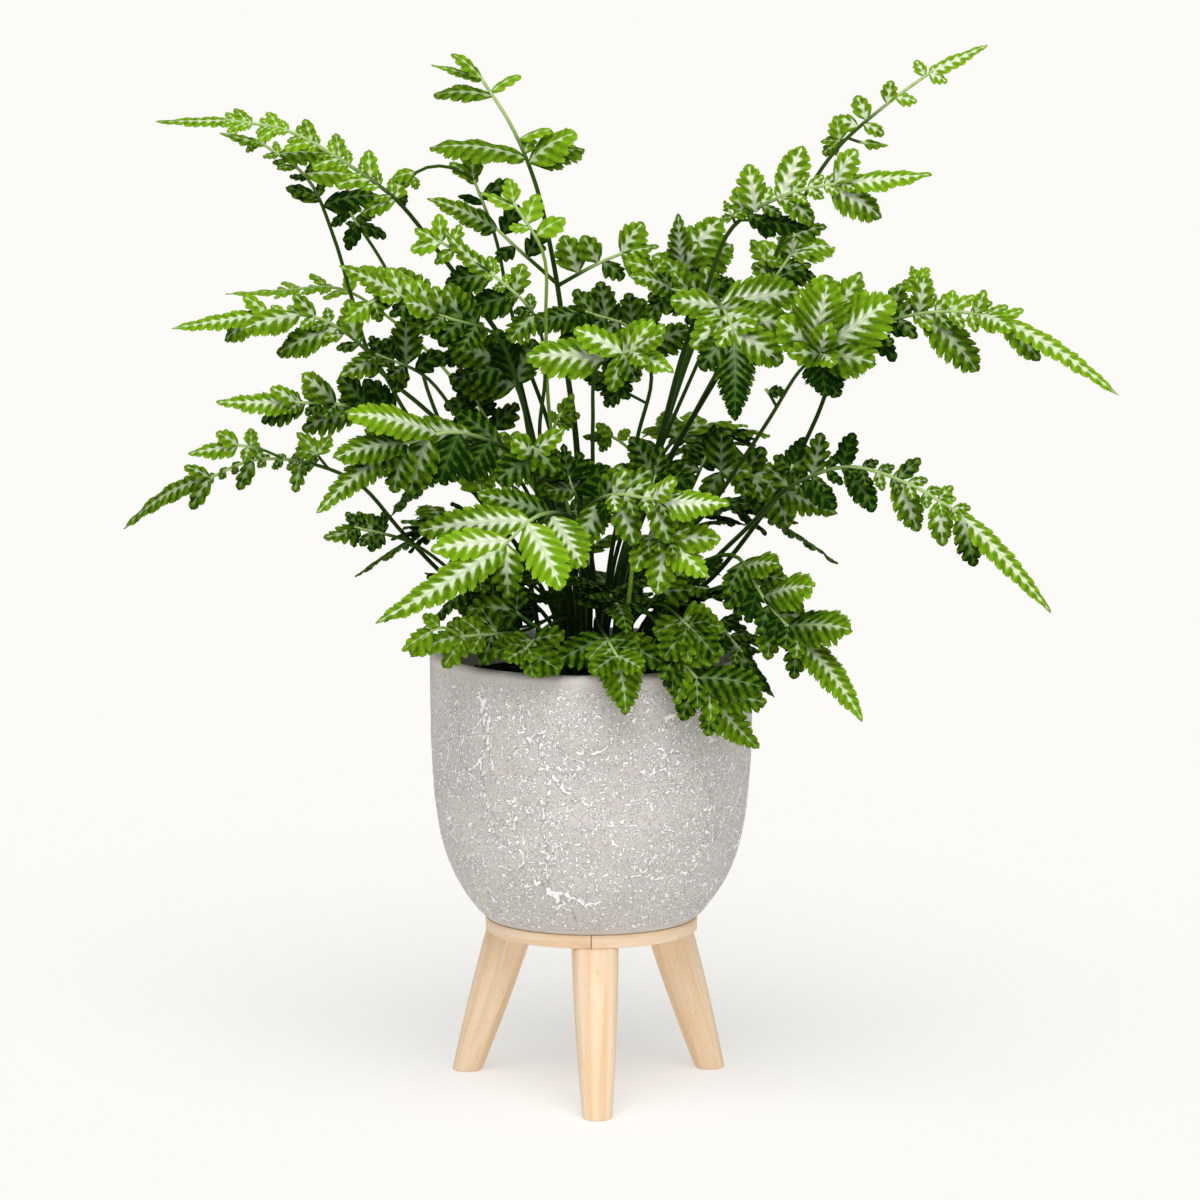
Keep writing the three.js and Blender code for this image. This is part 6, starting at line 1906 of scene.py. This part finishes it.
@dataclass
class Pot:
    """The round cement pot, with its crackle raised from the surface.

    ragged_noise and lump_noise hold a noise's scale and layer, and line_edge says how far past its
    width a line fades.
    """

    around: int = 400
    cell: float = 0.95
    edge: float = 3.0
    rise: float = 0.3
    step: float = 2.4
    smooth_top: float = 6.0
    lumps: float = 0.25
    line_reach: float = 6.0
    line_edge: float = 1.25
    ragged_noise: Row = (0.45, 3.1)
    lump_noise: Row = (0.07, 8.4)
    side_walks: int = 54
    wander: float = 26.0
    branching: float = 0.16
    seed: int = 5

    def radius_at(self, height: float) -> float:
        """Return the distance from the axis to the outside at a height."""
        radii, heights = zip(*POT_OUTSIDE)
        return float(np.interp(height, heights, radii))

    def profile(self) -> list[Row]:
        """Return the section from the middle of the underside, over the rim, to the floor."""
        rail = smooth_course(np.array(POT_OUTSIDE, float), FINE_STEPS)
        trail = Trail(rail)
        count = round(trail.length / self.cell)
        outside = [tuple(trail.at(trail.length * i / count)) for i in range(count + 1)]
        foot = [(radius, STAND_TOP) for radius in (0.0, 20.0, 38.0, 46.5)]
        edge = self.edge
        middle = POT_RADIUS - edge
        rim = [(middle + edge * math.cos(a), RIM_HEIGHT - edge + edge * math.sin(a))
               for a in (math.radians(angle) for angle in (18, 36, 54, 72, 90))]
        inner = POT_RADIUS - POT_WALL
        lip = [(inner + 1.6, RIM_HEIGHT - 0.15), (inner + 0.6, RIM_HEIGHT - 0.7),
               (inner, RIM_HEIGHT - 1.6)]
        floor = STAND_TOP + POT_FLOOR
        heights = (200, 192, 180, 166, 152, 140, 128, 116, 108, 100, floor + 5)
        wall = [(self.radius_at(z) - POT_WALL, z) for z in heights]
        bottom = [(self.radius_at(floor) - POT_WALL - 3, floor), (30.0, floor), (0.0, floor)]
        return [*foot, *outside, *rim, *lip, *wall, *bottom]

    def walks(self, rng: np.random.Generator) -> list[CrackleWalk]:
        """Return where the crackle's lines start.

        Args:
            rng: draws those of the sides and the back.

        Returns:
            The lines, the long ones of the front first.
        """
        down, aslant = -90.0, -60.0
        front = [
            CrackleWalk(-56, 196, aslant, 9, 1.3), CrackleWalk(-55, 190, down, 26, 1.1),
            CrackleWalk(-50, 186, -70, 14, 0.9), CrackleWalk(-22, 186, down, 20, 0.9),
            CrackleWalk(-34, 193, down, 8, 0.8), CrackleWalk(-18, 160, -40, 9, 0.9),
            CrackleWalk(-72, 190, -85, 16, 0.8), CrackleWalk(-24, 128, -75, 12, 1.1),
            CrackleWalk(-30, 110, -40, 14, 1.5), CrackleWalk(-18, 104, -15, 12, 1.6),
            CrackleWalk(-36, 140, down, 18, 0.9), CrackleWalk(40, 190, down, 14, 0.9),
            CrackleWalk(62, 150, -100, 20, 1.0), CrackleWalk(20, 112, 40, 8, 0.9),
            CrackleWalk(-66, 120, -80, 14, 0.9), CrackleWalk(10, 176, -150, 10, 0.8),
        ]
        half = math.pi * POT_RADIUS
        for _ in range(self.side_walks):
            x = float(rng.uniform(-half, half))
            if abs(x) > 70 or rng.random() < 0.35:
                front.append(CrackleWalk(x, float(rng.uniform(96, 194)), float(rng.normal(-90, 35)),
                                         int(rng.integers(5, 20)), float(rng.uniform(0.6, 1.2))))
        return front

    def crackle(self) -> tuple[np.ndarray, np.ndarray, np.ndarray]:
        """Walk the crackle's lines and their branches.

        Returns:
            Where each short run starts, where it ends, and its width, unwrapped.
        """
        rng = np.random.default_rng(self.seed)
        heads = self.walks(rng)
        starts, ends, widths = [], [], []
        while heads:
            walk = heads.pop()
            x, z, heading = walk.x, walk.z, walk.heading
            for i in range(walk.length):
                turn = heading + float(rng.normal(0, self.wander))
                nx = x + self.step * math.cos(math.radians(turn))
                nz = z + self.step * math.sin(math.radians(turn))
                starts.append((x, z))
                ends.append((nx, nz))
                tapered = walk.width * (1 - 0.6 * i / walk.length)
                widths.append(tapered * float(rng.uniform(0.6, 1.25)))
                x, z = nx, nz
                if rng.random() < self.branching and walk.length > 5:
                    side = float(rng.choice((-1, 1))) * float(rng.uniform(30, 75))
                    heads.append(CrackleWalk(x, z, heading + side, walk.length // 3 + 1,
                                             walk.width * 0.75))
        return np.array(starts), np.array(ends), np.array(widths)

    def raise_crackle(self, mesh: bpy.types.Mesh) -> None:
        """Raise the crackle from the outside and write it as an attribute.

        Args:
            mesh: the pot's mesh, in metres.
        """
        places = vertex_places(mesh) / MM
        out = np.hypot(places[:, 0], places[:, 1])
        limit = np.interp(places[:, 2], *zip(*((z, r) for r, z in POT_OUTSIDE)))
        low, top = STAND_TOP + 3, RIM_HEIGHT - self.smooth_top
        skin = np.flatnonzero((out > limit - 2) & (places[:, 2] > low)
                              & (places[:, 2] < RIM_HEIGHT - 1))
        x = np.arctan2(places[skin, 0], -places[skin, 1]) * POT_RADIUS
        z = places[skin, 2]
        amount = np.zeros(len(skin))
        for start, end, width in zip(*self.crackle()):
            run = end - start
            px, pz = x - start[0], z - start[1]
            near = np.flatnonzero((np.abs(px) < self.line_reach) & (np.abs(pz) < self.line_reach))
            share = np.clip((px[near] * run[0] + pz[near] * run[1]) / float(run @ run), 0, 1)
            gap = np.hypot(px[near] - share * run[0], pz[near] - share * run[1])
            amount[near] = np.maximum(amount[near], np.clip(self.line_edge - gap / width, 0, 1))
        ragged = noise_over(x, z, *self.ragged_noise)
        amount *= np.clip(0.85 + ragged, 0.2, 1)
        fade = np.clip((top + 3 - z) / 5, 0, 1)
        amount *= fade
        uneven = noise_over(x, z, *self.lump_noise)
        shift = np.zeros(len(places))
        shift[skin] = amount * self.rise + uneven * self.lumps * fade
        places[:, :2] *= (1 + shift / np.maximum(out, 1))[:, None]
        mesh.vertices.foreach_set("co", (places * MM).astype(np.float32).ravel())
        relief = np.zeros((len(places), 3))
        relief[skin, 0], relief[skin, 1] = amount, fade
        set_attribute(mesh, "relief", relief)

    def build(self) -> None:
        """Build the pot."""
        shell = spun(self.profile(), self.around)
        piece = finish_piece("pot", shell, [CementFinish().material()])
        self.raise_crackle(piece.data)


@dataclass
class Soil:
    """The soil: a crumbly top in the pot, closed down to the pot's floor.

    fractal holds the bumps' falloff, step in scale and octaves, and levels the heights of the
    rings down the side.
    """

    cells: int = 90
    bumps: float = 1.6
    highest: float = 1.6
    sunk: float = 0.2
    detail: float = 9.0
    fractal: Row = (0.6, 2.1, 5)
    edge_fade: float = 12.0
    levels: Row = (176, 150, 128, 110)
    floor_edge: Row = (5, 3)
    crumbs: int = 260
    crumb_reach: float = 0.93
    crumb_sizes: Row = (0.8, 2.3)
    crumb_lumps: float = 0.5
    crumb_rise: float = 0.2
    seed: int = 3

    def build(self, pot: Pot) -> None:
        """Build the soil in the pot that holds it."""
        floor = STAND_TOP + POT_FLOOR + FIT_GAP
        top_radius = pot.radius_at(SOIL_TOP) - POT_WALL - FIT_GAP
        bm = bmesh.new()
        bmesh.ops.create_grid(bm, x_segments=self.cells, y_segments=self.cells, size=1)
        for vert in bm.verts:
            x, y = vert.co.x, vert.co.y
            place = Vector((x * math.sqrt(1 - y * y / 2), y * math.sqrt(1 - x * x / 2), 0))
            edge = min(1.0, (1 - place.length) * self.edge_fade)
            height = noise.fractal(place * self.detail, *self.fractal) * self.bumps * max(0.0, edge)
            place = place * (top_radius * MM)
            place.z = (SOIL_TOP + min(height, self.highest) - self.sunk) * MM
            vert.co = place
        for height in (*self.levels, floor + self.floor_edge[0], floor):
            rim = [edge for edge in bm.edges if edge.is_boundary]
            ring = bmesh.ops.extrude_edge_only(bm, edges=rim)["geom"]
            inset = self.floor_edge[1] if height == floor else 0
            radius = (pot.radius_at(height) - POT_WALL - FIT_GAP - inset) * MM
            for vert in (item for item in ring if isinstance(item, bmesh.types.BMVert)):
                spot = Vector((vert.co.x, vert.co.y)).normalized() * radius
                vert.co = (spot.x, spot.y, height * MM)
        bmesh.ops.holes_fill(bm, edges=[edge for edge in bm.edges if edge.is_boundary], sides=0)
        bmesh.ops.recalc_face_normals(bm, faces=bm.faces)
        rng = np.random.default_rng(self.seed)
        for _ in range(self.crumbs):
            angle = rng.uniform(0, 2 * math.pi)
            out = top_radius * self.crumb_reach * math.sqrt(rng.random())
            size = float(rng.uniform(*self.crumb_sizes))
            crumb = bmesh.ops.create_icosphere(bm, subdivisions=1, radius=size * MM)["verts"]
            own = Vector((out, angle, size))
            spot = Vector((out * math.cos(angle), out * math.sin(angle),
                           SOIL_TOP + self.crumb_rise))
            for vert in crumb:
                vert.co *= 1 + self.crumb_lumps * noise.noise(vert.co / MM + own)
                vert.co += spot * MM
        finish_piece("soil", bm, [SoilFinish().material()])


@dataclass
class Stand:
    """The stand: a round top, the bent strip round it and three splayed legs.

    leg_grain holds how far the grain bends round a leg and how far apart the legs' grain is taken.
    """

    radius: float = 49.4
    thickness: float = 6.25
    band: float = 1.25
    band_edge: float = 0.3
    disc_edge: float = 0.4
    butt_gap: float = 0.5
    leg_turn: float = 2.4
    top_reach: float = 41.5
    foot_reach: float = 66.6
    top_radius: float = 10.8
    foot_radius: float = 6.75
    taper: float = 1.6
    foot_edge: float = 1.2
    top_edge: float = 0.6
    disc_steps: int = 96
    band_rings: int = 145
    band_grain: float = 40.0
    leg_sides: int = 48
    leg_levels: int = 20
    leg_grain: Row = (8.5, 31.0)
    sharp: float = 0.7

    def build(self) -> None:
        """Build the top, the strip and the legs."""
        wood = WoodFinish().material()
        self.build_disc(wood)
        self.build_band(wood)
        for k, name in enumerate(("leg_front", "leg_back_right", "leg_back_left")):
            self.build_leg(name, k, wood)

    def finish_shell(self, name: str, bm: bmesh.types.BMesh, wood: bpy.types.Material) -> None:
        """Point a piece's faces outward, keep its sharp edges and finish it.

        Args:
            name: its node.
            bm: its mesh.
            wood: its material.
        """
        bmesh.ops.recalc_face_normals(bm, faces=bm.faces)
        for edge in bm.edges:
            edge.smooth = edge.calc_face_angle(0) < self.sharp
        finish_piece(name, bm, [wood])

    def build_disc(self, wood: bpy.types.Material) -> None:
        """Build the round top."""
        low, high = STAND_TOP - self.thickness, STAND_TOP
        outer, edge = self.radius - self.band - FIT_GAP, self.disc_edge
        profile = [(0, low), (20, low), (outer - edge, low), (outer, low + edge),
                   (outer, high - edge), (outer - edge, high), (20, high), (0, high)]
        piece = finish_piece("stand_disc", spun(profile, self.disc_steps), [wood])
        set_attribute(piece.data, "grain", (vertex_places(piece.data) / MM)[:, [1, 0, 2]])

    def build_band(self, wood: bpy.types.Material) -> None:
        """Build the bent strip, open by a hair at the front where its ends butt."""
        outer, inner, edge = self.radius, self.radius - self.band, self.band_edge
        low, high = STAND_TOP - self.thickness, STAND_TOP
        section = [(outer, low + edge), (outer, high - edge), (outer - edge, high),
                   (inner + edge, high), (inner, high - edge), (inner, low + edge),
                   (inner + edge, low), (outer - edge * 1.6, low)]
        rings = self.band_rings
        half = self.butt_gap / 2 / self.radius

        def place(ring: int, corner: int) -> np.ndarray:
            """Return a vertex of the strip from its ring's and its own number."""
            angle = -math.pi / 2 + half + (2 * math.pi - 2 * half) * ring / (rings - 1)
            radius, height = section[corner]
            return np.array([radius * math.cos(angle), radius * math.sin(angle), height]) * MM

        bm = bmesh.new()
        layer = bm.verts.layers.float_vector.new("grain")
        verts = sweep(bm, rings, len(section), place)
        for k, vert in enumerate(verts):
            arc = 2 * math.pi * self.radius * (k // len(section)) / (rings - 1)
            vert[layer] = (vert.co.z / MM, arc, self.band_grain + section[k % len(section)][0])
        self.finish_shell("stand_edge_band", bm, wood)

    def leg_radius(self, drop: float) -> float:
        """Return a leg's radius at a share of its way down."""
        return self.top_radius - (self.top_radius - self.foot_radius) * drop ** self.taper

    def build_leg(self, name: str, index: int, wood: bpy.types.Material) -> None:
        """Build one leg: turned, tapered, leaning outward, cut level at both ends.

        Args:
            name: its node.
            index: which leg it is, from the front one to the right.
            wood: its material.
        """
        height = STAND_TOP - self.thickness
        lean = (self.foot_reach - self.top_reach) / height
        stretch = math.sqrt(1 + lean * lean)
        turn = math.radians(self.leg_turn) + 2 * math.pi * index / 3 - math.pi / 2
        foot = [(0.0, self.foot_edge), (0.12, self.foot_edge * 0.5), (0.45, self.foot_edge * 0.15),
                (self.foot_edge, 0.0)]
        body = np.linspace(self.foot_edge, height - self.top_edge, self.leg_levels)[1:]
        levels = [*foot, *((float(z), 0.0) for z in body), (height, self.top_edge)]
        sides = self.leg_sides

        def place(ring: int, corner: int) -> np.ndarray:
            """Return a vertex of the leg from its ring's and its own number."""
            z, inset = levels[ring]
            radius = self.leg_radius(1 - z / height) - inset
            angle = 2 * math.pi * corner / sides
            x = radius * math.cos(angle) * stretch + self.top_reach + lean * (height - z)
            y = radius * math.sin(angle)
            return np.array([x * math.cos(turn) - y * math.sin(turn),
                             x * math.sin(turn) + y * math.cos(turn), z]) * MM

        bm = bmesh.new()
        layer = bm.verts.layers.float_vector.new("grain")
        verts = sweep(bm, len(levels), sides, place)
        bend, apart = self.leg_grain
        for k, vert in enumerate(verts):
            angle = 2 * math.pi * (k % sides) / sides
            vert[layer] = (bend * math.cos(angle) + apart * index, vert.co.z / MM,
                           bend * math.sin(angle))
        self.finish_shell(name, bm, wood)


@dataclass
class Studio:
    """The pale floor, the soft lights and the camera.

    key and fill hold a light's strength, its spread in degrees, then how it is turned.
    """

    eye: Row = (4.02, -2600.0, 619.3)
    pitch: float = 0.1487
    lens: float = 170.27
    view_end: float = 100.0
    floor_half: float = 30.0
    sky: float = 0.42
    sky_colour: Row = (1.0, 0.995, 0.985, 1.0)
    key: Row = (2.15, 50, 30, 0, -2)
    fill: Row = (0.6, 60, 66, 0, 10)

    def build(self) -> None:
        """Set up the floor, the lights, the sky and the camera."""
        self.build_floor()
        self.add_sun("key light", *self.key)
        self.add_sun("fill light", *self.fill)
        world = bpy.data.worlds.new("studio")
        world.use_nodes = True
        background = world.node_tree.nodes["Background"]
        background.inputs["Color"].default_value = self.sky_colour
        background.inputs["Strength"].default_value = self.sky
        bpy.context.scene.world = world
        bpy.context.scene.view_settings.view_transform = "Standard"
        camera = bpy.data.cameras.new("camera")
        camera.lens = self.lens
        camera.clip_end = self.view_end
        holder = bpy.data.objects.new("camera", camera)
        holder.location = [value * MM for value in self.eye]
        holder.rotation_euler = (math.pi / 2 - self.pitch, 0, 0)
        bpy.context.scene.collection.objects.link(holder)
        bpy.context.scene.camera = holder

    def build_floor(self) -> None:
        """Lay the floor."""
        bm = bmesh.new()
        bmesh.ops.create_grid(bm, x_segments=8, y_segments=8, size=self.floor_half)
        mesh = bpy.data.meshes.new("floor")
        bm.to_mesh(mesh)
        bm.free()
        mesh.materials.append(FloorFinish().material())
        floor = bpy.data.objects.new("floor", mesh)
        bpy.context.scene.collection.objects.link(floor)

    def add_sun(self, name: str, strength: float, spread: float, *degrees: float) -> None:
        """Add a soft light from far away.

        Args:
            name: its name.
            strength: how strong it is.
            spread: how wide it looks from the plant, in degrees.
            degrees: how it is turned.
        """
        light = bpy.data.lights.new(name, "SUN")
        light.energy = strength
        light.angle = math.radians(spread)
        holder = bpy.data.objects.new(name, light)
        holder.rotation_euler = [math.radians(value) for value in degrees]
        bpy.context.scene.collection.objects.link(holder)


def main() -> None:
    """Build the studio, the pot, the stand and every frond."""
    logging.basicConfig(level=logging.INFO, format="%(message)s")
    Studio().build()
    pot = Pot()
    pot.build()
    Soil().build(pot)
    Stand().build()
    fern = Fern()
    fern.grow()
    materials = [BladeFinish().material(), StalkFinish().material()]
    rng = np.random.default_rng(LEAF_SEED)
    for frond in fern.fronds:
        if not frond.plan.on:
            branches = [other for other in fern.fronds if other.plan.on == frond.plan.name]
            FrondPiece([frond, *branches], fern.thicket, rng).build(materials)


if __name__ == "__main__":
    main()
